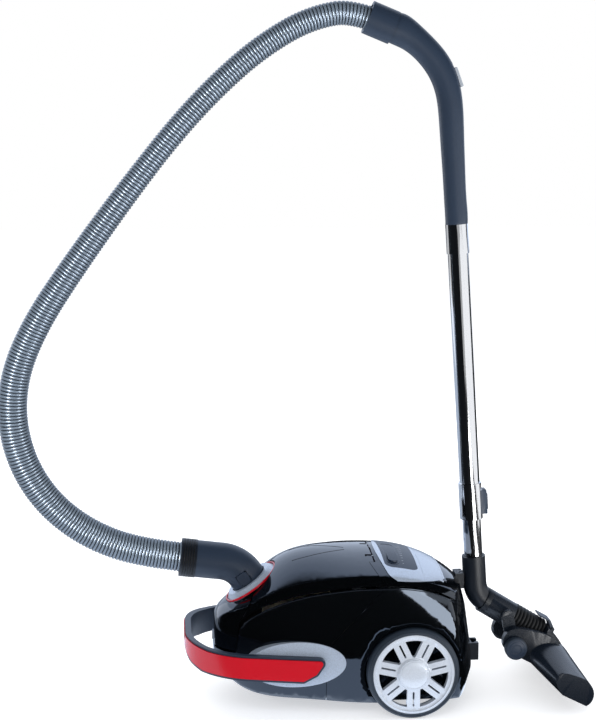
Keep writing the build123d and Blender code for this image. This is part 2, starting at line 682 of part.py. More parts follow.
band_side = make_face(FilletPolyline(*BAND_SIDE, radius=BAND_ROUND, close=True))
band_cut = handle_shell(HANDLE_THICK - 1, reach + 5, offset(band_side, FIT))
parts["handle_frame"] = handle_shell(0, HANDLE_THICK, offset(band_side, BAND_BORDER)) - band_cut
parts["handle_band"] = handle_shell(HANDLE_THICK - 0.9, reach, band_side)
oval = Pos(TRIM_CENTRE[0], TRIM_CENTRE[1]) * Ellipse(*TRIM_SIZE)
trim = Pos(0, HANDLE_HALF - FIT, 0) * extrude(Plane.XZ * oval, 2 * (HANDLE_HALF - FIT))
parts["side_trims"] = trim - lower_outer

# Bulkhead, filter, motor and mounts
bulkhead_x = (BULKHEAD_X - BULKHEAD_THICK, BULKHEAD_X)
room = form(LOWER, lower_section, WALL + FIT)
bulkhead_half = WELL_FLOOR - WALL - 2 * FIT
bulkhead = block(bulkhead_x, (-bulkhead_half, bulkhead_half), (0, 208)) & room
bulkhead -= rod((BULKHEAD_X - 20, MOTOR_Y, MOTOR_Z), (1, 0, 0), 0.6 * MOTOR_RADIUS, 40)
for index in range(-2, 3):
    bar_y = (MOTOR_Y + 11 * index - 1.5, MOTOR_Y + 11 * index + 1.5)
    bulkhead += block(bulkhead_x, bar_y, (MOTOR_Z - 30, MOTOR_Z + 30))
parts["bulkhead"] = bulkhead
filter_x = (bulkhead_x[0] - FILTER_THICK, bulkhead_x[0])
parts["motor_filter"] = block(filter_x, (MOTOR_Y - 44, MOTOR_Y + 44), (MOTOR_Z - 40, MOTOR_Z + 40))
motor_start = BULKHEAD_X + MOUNT_THICK
can = rod((motor_start, MOTOR_Y, MOTOR_Z), (1, 0, 0), MOTOR_RADIUS, MOTOR_LENGTH)
can_room = (motor_start + MOTOR_WALL, MOTOR_Y, MOTOR_Z)
can -= rod(can_room, (1, 0, 0), MOTOR_RADIUS - MOTOR_WALL, MOTOR_LENGTH - 2 * MOTOR_WALL)
can -= rod((motor_start - 1, MOTOR_Y, MOTOR_Z), (1, 0, 0), 0.4 * MOTOR_RADIUS, MOTOR_WALL + 2)
for angle in range(0, 360, 60):
    turn = math.radians(angle)
    vent_y = MOTOR_Y + 0.65 * MOTOR_RADIUS * math.cos(turn)
    vent_z = MOTOR_Z + 0.65 * MOTOR_RADIUS * math.sin(turn)
    can -= rod((motor_start + MOTOR_LENGTH - 5, vent_y, vent_z), (1, 0, 0), 8, 10)
motor_end = motor_start + MOTOR_LENGTH
can += rod((motor_end - 16, MOTOR_Y, MOTOR_Z), (1, 0, 0), 3 * SHAFT_RADIUS, 16)
spider = block((motor_start + 30, motor_start + 33), (MOTOR_Y - 46, MOTOR_Y + 46), (MOTOR_Z - 8, MOTOR_Z + 8))
can += spider & rod((motor_start, MOTOR_Y, MOTOR_Z), (1, 0, 0), MOTOR_RADIUS, MOTOR_LENGTH)
shaft_hole = rod((motor_start - 1, MOTOR_Y, MOTOR_Z), (1, 0, 0), SHAFT_RADIUS + RUN, MOTOR_LENGTH - 2)
parts["motor_housing"] = can - shaft_hole
rotor = rod((motor_start + 4, MOTOR_Y, MOTOR_Z), (1, 0, 0), SHAFT_RADIUS, MOTOR_LENGTH - 9)
rotor += rod((motor_start + 5, MOTOR_Y, MOTOR_Z), (1, 0, 0), FAN_RADIUS, 2)
rotor += rod((motor_start + 44, MOTOR_Y, MOTOR_Z), (1, 0, 0), 5 * SHAFT_RADIUS, 40)
for index in range(9):
    blade = block((motor_start + 6, motor_start + 22), (SHAFT_RADIUS + 4, FAN_RADIUS - 1), (-1, 1))
    rotor += Pos(0, MOTOR_Y, MOTOR_Z) * Rot(index * 40, 0, 0) * blade
rotor += rod((motor_start + 6, MOTOR_Y, MOTOR_Z), (1, 0, 0), SHAFT_RADIUS + 5, 16)
parts["fan_rotor"] = rotor
front_mount = rod((BULKHEAD_X, MOTOR_Y, MOTOR_Z), (1, 0, 0), MOTOR_RADIUS - 1, MOUNT_THICK)
front_mount -= rod((BULKHEAD_X - 1, MOTOR_Y, MOTOR_Z), (1, 0, 0), 0.65 * MOTOR_RADIUS, MOUNT_THICK + 2)
saddle_x = (motor_end - 30, motor_end - 10)
saddle = block(saddle_x, (MOTOR_Y - 24, MOTOR_Y + 24), (0, MOTOR_Z - 0.75 * MOTOR_RADIUS)) & room
saddle -= rod((motor_start - 5, MOTOR_Y, MOTOR_Z), (1, 0, 0), MOTOR_RADIUS + FIT, MOTOR_LENGTH + 10)
parts["motor_mounts"] = Compound([*front_mount.solids(), *saddle.solids()])

# Cord drum on its pin, and the brake that bears on its flange
drum = cross_rod(DRUM_X, DRUM_Z, DRUM_HUB, DRUM_Y, drum_end)
drum += cross_rod(DRUM_X, DRUM_Z, DRUM_RADIUS, DRUM_Y, DRUM_Y + 3)
drum += cross_rod(DRUM_X, DRUM_Z, DRUM_RADIUS, drum_end - 3, drum_end)
parts["cord_drum"] = drum - cross_rod(DRUM_X, DRUM_Z, DRUM_PIN + RUN, DRUM_Y - 5, drum_end + 5)
brake_x = (PEDAL_X[0] + PEDAL_X[1]) / 2
brake_y = (drum_end - 6, drum_end + 2)
drum_top = DRUM_Z + math.sqrt(DRUM_RADIUS ** 2 - (brake_x - DRUM_X - 6) ** 2)
brake = block((brake_x - 6, brake_x + 6), brake_y, (drum_top + PEDAL_TRAVEL + 1, PROFILE_REACH))
brake_shoe = cross_rod(DRUM_X, DRUM_Z, DRUM_RADIUS + PEDAL_TRAVEL + 1, *brake_y)
parts["reel_brake"] = (brake & form(UPPER, upper_section, PEDAL_DEPTH + FIT)) - brake_shoe

# Dust bag and its plate under the inlet
plate_frame = Plane(origin=on_inlet(-BOSS_DEPTH - FIT), x_dir=(0, 1, 0), z_dir=INLET_AXIS)
plate = plate_frame * Box(84, 76, 3, align=(Align.CENTER, Align.CENTER, Align.MAX))
plate -= rod(on_inlet(-80), INLET_AXIS, SPIGOT_RADIUS, 160)
parts["bag_plate"] = plate & form(UPPER, upper_section, 2 * WALL + 4)
bag = Pos(-140, 0, 125) * Box(158, 150, 130)
bag = fillet(bag.edges(), 28)
bag -= Plane(origin=on_inlet(-BOSS_DEPTH - 3 - 2 * FIT), z_dir=INLET_AXIS) * Box(
    500, 500, 300, align=(Align.CENTER, Align.CENTER, Align.MIN)
)
bag_neck = on_inlet(-BOSS_DEPTH - 3 - 2 * FIT)
bag += rod(bag_neck, (-INLET_AXIS[0], 0, -INLET_AXIS[2]), SPIGOT_RADIUS + 6, 40)
parts["dust_bag"] = bag & form(LOWER, lower_section, WALL + 6)

# Stub axles, wheels and base screws
axle_low = WELL_FLOOR - 15
axle_high = WHEEL_FACE - 8
stub = cross_rod(AXLE_X, TYRE_RADIUS, AXLE_RADIUS, axle_low, axle_high)
parts["wheel_axles"] = Compound([*stub.solids(), *mirror(stub, Plane.XZ).solids()])
tyre = cross_rod(AXLE_X, TYRE_RADIUS, TYRE_RADIUS, WHEEL_FACE - TYRE_WIDTH, WHEEL_FACE)
tyre = fillet(tyre.edges(), TYRE_SHOULDER)
tyre -= cross_rod(AXLE_X, TYRE_RADIUS, RIM_RADIUS + RUN, 0, 2 * WHEEL_FACE)
rim_low = WHEEL_FACE - TYRE_WIDTH + 1
rim_high = WHEEL_FACE - 1
rim = cross_rod(AXLE_X, TYRE_RADIUS, RIM_RADIUS, rim_low, rim_high)
rim -= cross_rod(AXLE_X, TYRE_RADIUS, RIM_RADIUS - RIM_BARREL, 0, rim_high - SPOKE_DEPTH)
rim -= cross_rod(AXLE_X, TYRE_RADIUS, RIM_RADIUS - RIM_BARREL, rim_high - 2, 2 * WHEEL_FACE)
window_face = Circle(WINDOW_OUTER) - Circle(WINDOW_INNER)
for index in range(SPOKES):
    turn = Rot(0, 0, 360 * index / SPOKES - 90)
    window_face -= turn * Pos(WINDOW_OUTER / 2, 0) * Rectangle(WINDOW_OUTER + 8, SPOKE_WIDTH)
slots = Sketch()
for index in range(SPOKES):
    turn = Rot(0, 0, 360 * index / SPOKES - 90)
    middle = (WINDOW_OUTER + WINDOW_INNER) / 2
    slots += turn * Pos(middle, 0) * SlotOverall(WINDOW_OUTER - WINDOW_INNER - 4, SPOKE_SLOT)
wheel_plane = Plane(origin=(AXLE_X, 0, TYRE_RADIUS), x_dir=(1, 0, 0), z_dir=(0, -1, 0))
for cut in (window_face, slots):
    rim -= extrude(wheel_plane * cut, 2 * WHEEL_FACE, both=True)
hub = cross_rod(AXLE_X, TYRE_RADIUS, 0.6 * HUB_RADIUS, rim_low, rim_high - 2)
rim += hub + cross_rod(AXLE_X, TYRE_RADIUS, HUB_RADIUS, rim_high - 4, rim_high)
rim -= cross_rod(AXLE_X, TYRE_RADIUS, AXLE_RADIUS + RUN, 0, axle_high + FIT)
parts["tyre_right"] = tyre
parts["rim_right"] = rim
parts["tyre_left"] = mirror(tyre, Plane.XZ)
parts["rim_left"] = mirror(rim, Plane.XZ)
screw_skin = form(LOWER, lower_section, -SCREW_HEAD) - lower_outer
screws = []
for x in SCREW_X:
    for y in (-SCREW_Y, SCREW_Y):
        head = screw_skin & rod((x, y, 0), (0, 0, 1), SCREW_RADIUS, 60)
        screws.extend(head.solids())
parts["base_screws"] = Compound(screws)

# Front caster
fork = rod((CASTER_X, 0, fork_top), (0, 0, 1), 4 * CASTER_PIN, FORK_WALL)
fork += rod((CASTER_X, 0, fork_top), (0, 0, 1), CASTER_PIN, boss_top - fork_top - 5)
roller_x = CASTER_X + CASTER_TRAIL
for side in (-1, 1):
    cheek_y = sorted((side * (CASTER_WIDTH / 2 + 1), side * (CASTER_WIDTH / 2 + 1 + FORK_WALL)))
    cheek_points = [
        (CASTER_X - 10, fork_top + 1),
        (roller_x - 6, CASTER_RADIUS - 5),
        (roller_x + 6, CASTER_RADIUS - 5),
        (CASTER_X + 16, fork_top + 1),
    ]
    fork += side_prism(cheek_points, *cheek_y)
fork -= cross_rod(roller_x, CASTER_RADIUS, 2.5 + RUN, -40, 40)
parts["caster_fork"] = fork
roller = cross_rod(roller_x, CASTER_RADIUS, CASTER_RADIUS, -CASTER_WIDTH / 2, CASTER_WIDTH / 2)
roller = fillet(roller.edges(), 3)
pin_half = CASTER_WIDTH / 2 + 1 + FORK_WALL
parts["caster_roller"] = roller + cross_rod(roller_x, CASTER_RADIUS, 2.5, -pin_half, pin_half)
parts["base_tub"] = base_tub
parts["rear_shell"] = rear_shell

# Hose elbow, its squeeze buttons and the slotted cuff
elbow_start = on_inlet(FIT)
elbow_corner = on_inlet(ELBOW_RISE)
cuff_point = (CUFF_START[0], 0, CUFF_START[1])
elbow_path = FilletPolyline(elbow_start, elbow_corner, cuff_point, radius=ELBOW_BEND)
cuff_dir = (Vector(*cuff_point) - Vector(*elbow_corner)).normalized()
elbow = swept_rod(elbow_path, ELBOW_RADIUS)
elbow += rod(on_inlet(-SPIGOT_DEPTH), INLET_AXIS, SPIGOT_RADIUS, SPIGOT_DEPTH + 4)
elbow -= swept_rod(elbow_path, ELBOW_BORE)
elbow -= rod(on_inlet(-SPIGOT_DEPTH - 1), INLET_AXIS, ELBOW_BORE, SPIGOT_DEPTH + 3)
for name, side in (("elbow_button_left", -1), ("elbow_button_right", 1)):
    half = ELBOW_BUTTON / 2
    inner_y = ELBOW_RADIUS - ELBOW_BUTTON_THICK + 1.5
    outer_y = ELBOW_RADIUS + 1.5
    button_frame = Location(on_inlet(ELBOW_BUTTON_RISE), (0, -INLET_TILT, 0)) * Pos(-2.5, 0, 0)
    button = block((-half, half), sorted((side * inner_y, side * outer_y)), (-half, half))
    button = fillet(button.edges().filter_by(Axis.Y), 5)
    room_y = sorted((side * (inner_y - ELBOW_BUTTON_TRAVEL - FIT), side * 60))
    elbow -= button_frame * block((-half - FIT, half + FIT), room_y, (-half - FIT, half + FIT))
    parts[name] = button_frame * button
parts["hose_elbow"] = elbow
cuff = rod(cuff_point, cuff_dir, CUFF_RADIUS, CUFF_LENGTH)
cuff -= rod(cuff_point, cuff_dir, CUFF_RADIUS - CUFF_WALL, CUFF_LENGTH + 1)
slot_step = (CUFF_LENGTH - 6) / CUFF_SLOTS
for index in range(CUFF_SLOTS):
    offset = 4 + slot_step * index
    origin = Vector(*cuff_point) + cuff_dir * offset
    groove = rod(origin, cuff_dir, CUFF_RADIUS + 1, CUFF_SLOT_WIDTH)
    cuff -= groove - rod(origin, cuff_dir, CUFF_RADIUS - 2, CUFF_SLOT_WIDTH)
parts["hose_cuff"] = cuff

# Telescopic tube, its collar and release button
inner_tube = wand_tube(-INNER_TUBE_DEPTH, INNER_TUBE_TOP, INNER_TUBE_RADIUS, INNER_TUBE_RADIUS - TUBE_WALL)
parts["inner_tube"] = inner_tube
outer_tube = wand_tube(OUTER_TUBE_START, OUTER_TUBE_END, OUTER_TUBE_RADIUS, OUTER_TUBE_RADIUS - TUBE_WALL)
flare_start = OUTER_TUBE_END - SOCKET_LENGTH
outer_tube -= rod(in_wand(flare_start), WAND_UP, OUTER_TUBE_RADIUS + 1, SOCKET_LENGTH + 1)
outer_tube += wand_tube(flare_start, OUTER_TUBE_END, SOCKET_RADIUS, SOCKET_RADIUS - TUBE_WALL)
outer_tube += wand_tube(flare_start, flare_start + 2, SOCKET_RADIUS, OUTER_TUBE_RADIUS - TUBE_WALL)
parts["outer_tube"] = outer_tube
collar_end = OUTER_TUBE_START + COLLAR_LENGTH
collar = wand_tube(OUTER_TUBE_START - 4, collar_end, COLLAR_RADIUS, OUTER_TUBE_RADIUS + RUN)
collar += wand_tube(OUTER_TUBE_START - 4, OUTER_TUBE_START - FIT, COLLAR_RADIUS, INNER_TUBE_RADIUS + FIT)
release_frame = Plane(origin=in_wand(OUTER_TUBE_START + 8), x_dir=(0, 1, 0), z_dir=WAND_UP)
release_out = Vector(math.cos(math.radians(WAND_LEAN)), 0, math.sin(math.radians(WAND_LEAN)))
house_box = Box(22, 2 * (COLLAR_RADIUS + RELEASE_THICK), RELEASE_HEIGHT + 8)
house = release_frame * Pos(0, 0, RELEASE_HEIGHT / 2) * house_box
behind_tube = Plane(origin=in_wand(OUTER_TUBE_START), x_dir=(0, 1, 0), z_dir=release_out) * Box(
    200, 400, 100, align=(Align.CENTER, Align.CENTER, Align.MIN)
)
house = (house & behind_tube) - rod(in_wand(0), WAND_UP, OUTER_TUBE_RADIUS + RUN, 300)
release_origin = in_wand(OUTER_TUBE_START + 8 + RELEASE_HEIGHT / 2)
release_plane = Plane(origin=release_origin, x_dir=(0, 1, 0), z_dir=release_out)
well_cut = release_plane * Pos(0, 0, COLLAR_RADIUS) * Box(
    14 + 2 * FIT, RELEASE_HEIGHT - 6 + 2 * FIT, 40, align=(Align.CENTER, Align.CENTER, Align.MIN)
)
parts["tube_collar"] = collar + house - well_cut
parts["tube_button"] = release_plane * Pos(0, 0, COLLAR_RADIUS + RELEASE_TRAVEL + FIT) * Box(
    14, RELEASE_HEIGHT - 6, RELEASE_THICK - 2, align=(Align.CENTER, Align.CENTER, Align.MIN)
)

# Grip: a tapered bent tube from the hose collar down to the telescopic tube
grip_dir = Vector(math.cos(math.radians(GRIP_TILT)), 0, -math.sin(math.radians(GRIP_TILT)))
wand_dir = Vector(*WAND_UP)
grip_foot = Vector(*in_wand(OUTER_TUBE_END))
grip_origin = Vector(GRIP_START[0], 0, GRIP_START[1])
gap = grip_foot - grip_origin
cross = grip_dir.X * wand_dir.Z - grip_dir.Z * wand_dir.X
reach_grip = (gap.X * wand_dir.Z - gap.Z * wand_dir.X) / cross
grip_corner = grip_origin + grip_dir * reach_grip
grip_start = grip_origin + grip_dir * (GRIP_COLLAR_LENGTH - 6)
grip_path = FilletPolyline(grip_start, grip_corner, grip_foot, radius=GRIP_BEND)


def grip_sections(first, last):
    """Circles along the grip, from one radius to another."""
    faces = []
    steps = 8
    for index in range(steps + 1):
        share = index / steps
        plane = Plane(origin=grip_path @ share, x_dir=(0, 1, 0), z_dir=grip_path % share)
        faces.append(plane * Circle(first + (last - first) * min(1, 1.25 * share)))
    return faces


grip = loft(grip_sections(GRIP_TOP_RADIUS, GRIP_FOOT_RADIUS + 1.2))
grip -= loft(grip_sections(GRIP_BORE + 3, GRIP_BORE))
spigot_start = OUTER_TUBE_END - SOCKET_LENGTH + 8
spigot = wand_tube(spigot_start, OUTER_TUBE_END + 1, SOCKET_RADIUS - TUBE_WALL - RUN, GRIP_BORE)
grip += spigot
slider_at = grip_path @ SUCTION_PLACE
slider_along = grip_path % SUCTION_PLACE
slider_out = Vector(-slider_along.Z, 0, slider_along.X)
suction_plane = Plane(origin=slider_at, x_dir=(0, 1, 0), z_dir=slider_out)
suction_seat = GRIP_FOOT_RADIUS + 2
suction_cut = suction_plane * Pos(0, 0, suction_seat) * Box(
    16, SUCTION_LENGTH + 14, 30, align=(Align.CENTER, Align.CENTER, Align.MIN)
)
grip -= suction_cut
suction_slider = suction_plane * Pos(0, 0, suction_seat + 0.1) * Box(
    13, SUCTION_LENGTH, 6, align=(Align.CENTER, Align.CENTER, Align.MIN)
)
parts["suction_slider"] = fillet(suction_slider.edges(), 1.5)
parts["grip"] = grip
grip_collar = rod(grip_origin, grip_dir, GRIP_COLLAR_RADIUS, GRIP_COLLAR_LENGTH)
grip_collar -= rod(grip_origin, grip_dir, HOSE_HIGH_RADIUS + 2, HOSE_PLUG)
grip_collar -= rod(grip_origin, grip_dir, GRIP_BORE + 3, 2 * GRIP_COLLAR_LENGTH)
parts["grip_collar"] = grip_collar - loft(grip_sections(GRIP_TOP_RADIUS + RUN, GRIP_FOOT_RADIUS + 1.2))

# Nozzle neck with its parking hook
swivel_point = on_swivel(0)
neck_top = in_wand(0)
neck_dir = Vector(*SWIVEL_AXIS)
gap = Vector(*swivel_point) - Vector(*neck_top)
cross = wand_dir.X * neck_dir.Z - wand_dir.Z * neck_dir.X
neck_drop = (gap.X * neck_dir.Z - gap.Z * neck_dir.X) / cross
neck_corner = Vector(*neck_top) + wand_dir * neck_drop
neck_path = FilletPolyline(neck_top, neck_corner, swivel_point, radius=NECK_BEND)
neck = swept_rod(neck_path, NECK_RADIUS)
neck += rod(on_swivel(-9), SWIVEL_AXIS, SWIVEL_RADIUS, 9)
neck += block((hook_x[0], hook_x[1]), (-HOOK_Y, HOOK_Y), (HOOK_FOOT, HOOK_TOP))
neck += block((hook_x[0], WAND_FOOT[0]), (-HOOK_Y / 2, HOOK_Y / 2), (HOOK_FOOT, HOOK_TOP))
neck -= swept_rod(neck_path, PIPE_BORE)
neck -= rod(on_swivel(-PIPE_SPIGOT - FIT), SWIVEL_AXIS, PIPE_BORE, 2 * PIPE_SPIGOT)
neck -= rod(in_wand(-INNER_TUBE_DEPTH - FIT), WAND_UP, INNER_TUBE_RADIUS + RUN, INNER_TUBE_DEPTH + 10)
parts["nozzle_neck"] = neck

# Swivelling pipe with two arms down to the nozzle's axle
pipe = rod(on_swivel(FIT), SWIVEL_AXIS, SWIVEL_RADIUS, PIPE_LENGTH - FIT)
pipe += rod(on_swivel(-PIPE_SPIGOT), SWIVEL_AXIS, PIPE_BORE - FIT, PIPE_SPIGOT + 4)
nozzle_axle = (NOZZLE_AXLE[0], 0, NOZZLE_AXLE[1])
arm_top = on_swivel(PIPE_LENGTH - 14)
for side in (-1, 1):
    arm_y = sorted((side * ARM_Y[0], side * ARM_Y[1]))
    arm = cross_rod(NOZZLE_AXLE[0], NOZZLE_AXLE[1], ARM_RADIUS, *arm_y)
    arm_top_y = sorted((side * (SWIVEL_RADIUS - 5), side * ARM_Y[1]))
    arm += cross_rod(arm_top[0], arm_top[2], ARM_RADIUS, *arm_top_y)
    run = Vector(arm_top[0] - NOZZLE_AXLE[0], 0, arm_top[2] - NOZZLE_AXLE[1])
    normal = Vector(run.Z, 0, -run.X).normalized() * ARM_RADIUS
    corners = [
        (NOZZLE_AXLE[0] + normal.X, NOZZLE_AXLE[1] + normal.Z),
        (arm_top[0] + normal.X, arm_top[2] + normal.Z),
        (arm_top[0] - normal.X, arm_top[2] - normal.Z),
        (NOZZLE_AXLE[0] - normal.X, NOZZLE_AXLE[1] - normal.Z),
    ]
    pipe += arm + side_prism(corners, *arm_y)
pipe -= rod(on_swivel(-PIPE_SPIGOT - 1), SWIVEL_AXIS, PIPE_BORE - 3, PIPE_LENGTH + PIPE_SPIGOT + 2)
parts["nozzle_pipe"] = pipe - cross_rod(*NOZZLE_AXLE, NOZZLE_PIN + RUN, -60, 60)

# Ribbed bellows between the pipe and the head
bellows_faces = []
rib_pitch = (BELLOWS_END - PIPE_LENGTH - 2 * FIT) / BELLOWS_RIBS
for index in range(BELLOWS_RIBS):
    base = PIPE_LENGTH + FIT + index * rib_pitch
    for offset, drop in ((0, BELLOWS_DEPTH), (0.35, BELLOWS_DEPTH), (0.45, 0), (0.9, 0)):
        origin = on_swivel(base + offset * rib_pitch)
        plane = Plane(origin=origin, x_dir=(0, 1, 0), z_dir=SWIVEL_AXIS)
        bellows_faces.append(plane * Circle(BELLOWS_RADIUS - drop))
bellows = loft(bellows_faces, ruled=True)
bellows_bore = BELLOWS_RADIUS - BELLOWS_DEPTH - HOSE_WALL
parts["hinge_cover"] = bellows - rod(on_swivel(PIPE_LENGTH - 5), SWIVEL_AXIS, bellows_bore, BELLOWS_END)

# Nozzle head in its own frame, then set on its axle
nozzle_frame = Location(nozzle_axle, (0, NOZZLE_TILT, 0))
sole_z = HEAD_END[-1][1]
inner_profile = [(SOLE_X[0], sole_z - 10), (SOLE_X[0], sole_z + 4), *NOZZLE_HOLLOW]
inner_profile += [(SOLE_X[1], sole_z + 4), (SOLE_X[1], sole_z - 10)]


def head_section(points, y):
    """The head's cross-section at one place across its width."""
    plane = Plane(origin=(0, y, 0), x_dir=(1, 0, 0), z_dir=(0, -1, 0))
    return plane * make_face([Spline(*points), Line(points[-1], points[0])])


head_sections = [head_section(HEAD_ROOT, CHEEK_Y[0] + 0.5)]
head_sections += [head_section(HEAD_MIDDLE, HEAD_MIDDLE_Y), head_section(HEAD_END, NOZZLE_HALF)]
shoulder = loft(head_sections)
cheek_face = make_face([Spline(*CHEEK_TOP), Polyline(CHEEK_TOP[-1], *CHEEK_FOOT, CHEEK_TOP[0])])
cheek = Pos(0, CHEEK_Y[1], 0) * extrude(Plane.XZ * cheek_face, CHEEK_Y[1] - CHEEK_Y[0])
head = side_prism(HUB_PROFILE, -CHEEK_Y[0] - 1, CHEEK_Y[0] + 1)
head += [cheek, shoulder, mirror(cheek, Plane.XZ), mirror(shoulder, Plane.XZ)]
for side in (-1, 1):
    ear_y = sorted((side * (PEDAL_HALF + FIT), side * (PEDAL_HALF + FIT + PEDAL_EAR)))
    ear = block((PEDAL_PIVOT[0] - 3, PEDAL_PIVOT[0] + 3), ear_y, (PEDAL_PIVOT[1] - 14, PEDAL_PIVOT[1]))
    head += ear + cross_rod(*PEDAL_PIVOT, 3, *ear_y)
head -= side_prism(inner_profile, -NOZZLE_HALF + NOZZLE_WALL, NOZZLE_HALF - NOZZLE_WALL)
inlet_local = nozzle_frame.inverse() * Pos(*on_swivel(BELLOWS_END))
inlet_mouth = inlet_local.position
head -= rod((inlet_mouth.X - 8, 0, inlet_mouth.Z), (1, 0, -0.25), HUB_BORE, 22)
head -= rod((inlet_mouth.X + 8, 0, inlet_mouth.Z - 3), (0.55, 0, -0.83), HUB_BORE - 1, 40)
head -= cross_rod(0, 0, NOZZLE_PIN + RUN, -CASING_HALF, CASING_HALF)
head -= cross_rod(*PEDAL_PIVOT, PEDAL_PIN + RUN, -60, 60)
parts["nozzle_head"] = nozzle_frame * head
sole_half = NOZZLE_HALF - NOZZLE_WALL - FIT
sole = block((SOLE_X[0] + FIT, SOLE_X[1] - FIT), (-sole_half, sole_half), (sole_z, sole_z + SOLE_THICK))
sole -= block(MOUTH_X, (-MOUTH_HALF, MOUTH_HALF), (sole_z - 1, sole_z + 10))
brush_room_x = (BRUSH_X[0] - FIT, BRUSH_X[1] + FIT)
sole -= block(brush_room_x, (-BRUSH_HALF - FIT, BRUSH_HALF + FIT), (sole_z - 1, sole_z + 10))
parts["sole_plate"] = nozzle_frame * sole
brush = block(BRUSH_X, (-BRUSH_HALF, BRUSH_HALF), (sole_z + 0.5, sole_z + 9))
bar_z = (sole_z + SOLE_THICK + FIT + BRUSH_DROP, sole_z + 10)
brush += block((BRUSH_X[0] - 1, BRUSH_X[1] + 1), (-BRUSH_HALF, BRUSH_HALF), bar_z)
parts["brush_strip"] = nozzle_frame * brush
wheels = cross_rod(0, 0, NOZZLE_PIN, -NOZZLE_WHEEL_Y[1] + 2, NOZZLE_WHEEL_Y[1] - 2)
for side in (-1, 1):
    wheel_y = sorted(side * place for place in NOZZLE_WHEEL_Y)
    wheel = cross_rod(0, 0, NOZZLE_WHEEL_RADIUS, *wheel_y)
    wheels += fillet(wheel.edges(), 2)
parts["nozzle_wheels"] = nozzle_frame * wheels
pedal_x, pedal_z = PEDAL_PIVOT
pedal_points = [
    (PEDAL_TIP[0], PEDAL_TIP[1]),
    (PEDAL_TIP[0], PEDAL_TIP[1] + PEDAL_PLATE),
    (pedal_x - 10, PEDAL_TIP[1] + PEDAL_PLATE - 1),
    (pedal_x + 2, pedal_z + 2),
    (pedal_x + 2, pedal_z - 2),
    (pedal_x - 2, pedal_z - 2),
    (pedal_x - 13, PEDAL_TIP[1] - 1),
]
pedal = side_prism(pedal_points, -PEDAL_HALF, PEDAL_HALF)
pedal += cross_rod(pedal_x, pedal_z, PEDAL_PIN, -PEDAL_HALF - PEDAL_EAR, PEDAL_HALF + PEDAL_EAR)
parts["brush_pedal"] = nozzle_frame * pedal

# Hose: ribs as flat crests and valleys on circles that stay square to the route
hose_points = [Vector(x, 0, z) for x, z in HOSE_ROUTE]
radii = []
for before, here, after in zip(hose_points, hose_points[1:], hose_points[2:]):
    turn = math.radians((here - before).get_angle(after - here))
    radii.append(0.45 * min((here - before).length, (after - here).length) / math.tan(turn / 2))
print("hose bend radii", [round(radius) for radius in radii])
hose_path = FilletPolyline(*hose_points, radius=radii)
hose_length = hose_path.length
print("hose length", round(hose_length))


def hose_radius(share):
    """The hose's crest radius, which narrows from the elbow to the grip."""
    step = min(1, max(0, (share - HOSE_TAPER[0]) / (HOSE_TAPER[1] - HOSE_TAPER[0])))
    return HOSE_LOW_RADIUS + (HOSE_HIGH_RADIUS - HOSE_LOW_RADIUS) * step


def hose_circle(share, drop):
    """A circle square to the hose's route."""
    plane = Plane(origin=hose_path @ share, x_dir=(0, 1, 0), z_dir=hose_path % share)
    return plane * Circle(hose_radius(share) - drop)


def hose_stretch(first, last):
    """A run of ribs, bored through."""
    outside = []
    inside = []
    for index in range(first, last):
        for offset, drop in ((0, RIB_DEPTH), (0.3, RIB_DEPTH), (0.45, 0), (0.85, 0)):
            outside.append(hose_circle((index + offset) / RIBS, drop))
        inside.append(hose_circle(index / RIBS, RIB_DEPTH + HOSE_WALL))
    outside.append(hose_circle(last / RIBS, RIB_DEPTH))
    inside.append(hose_circle(last / RIBS, RIB_DEPTH + HOSE_WALL))
    return loft(outside, ruled=True) - loft(inside, ruled=True)


cuts = [0, round(HOSE_CUTS[0] * RIBS), round(HOSE_CUTS[1] * RIBS), RIBS]
for name, first, last in zip(("hose_lower", "hose_middle", "hose_upper"), cuts, cuts[1:]):
    parts[name] = hose_stretch(first, last)

os.makedirs("parts", exist_ok=True)
for name, shape in parts.items():
    export_step(shape, f"parts/{name}.step")
print(len(parts), "nodes")
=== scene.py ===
"""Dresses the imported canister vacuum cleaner: finishes, hose, bag, small details, light and camera."""
import json
import logging
import math
from contextlib import contextmanager
from dataclasses import dataclass, field
from enum import Enum
from typing import Any, Iterator, Sequence

import bmesh
import bpy
from mathutils import Matrix, Vector, noise
from mathutils.bvhtree import BVHTree

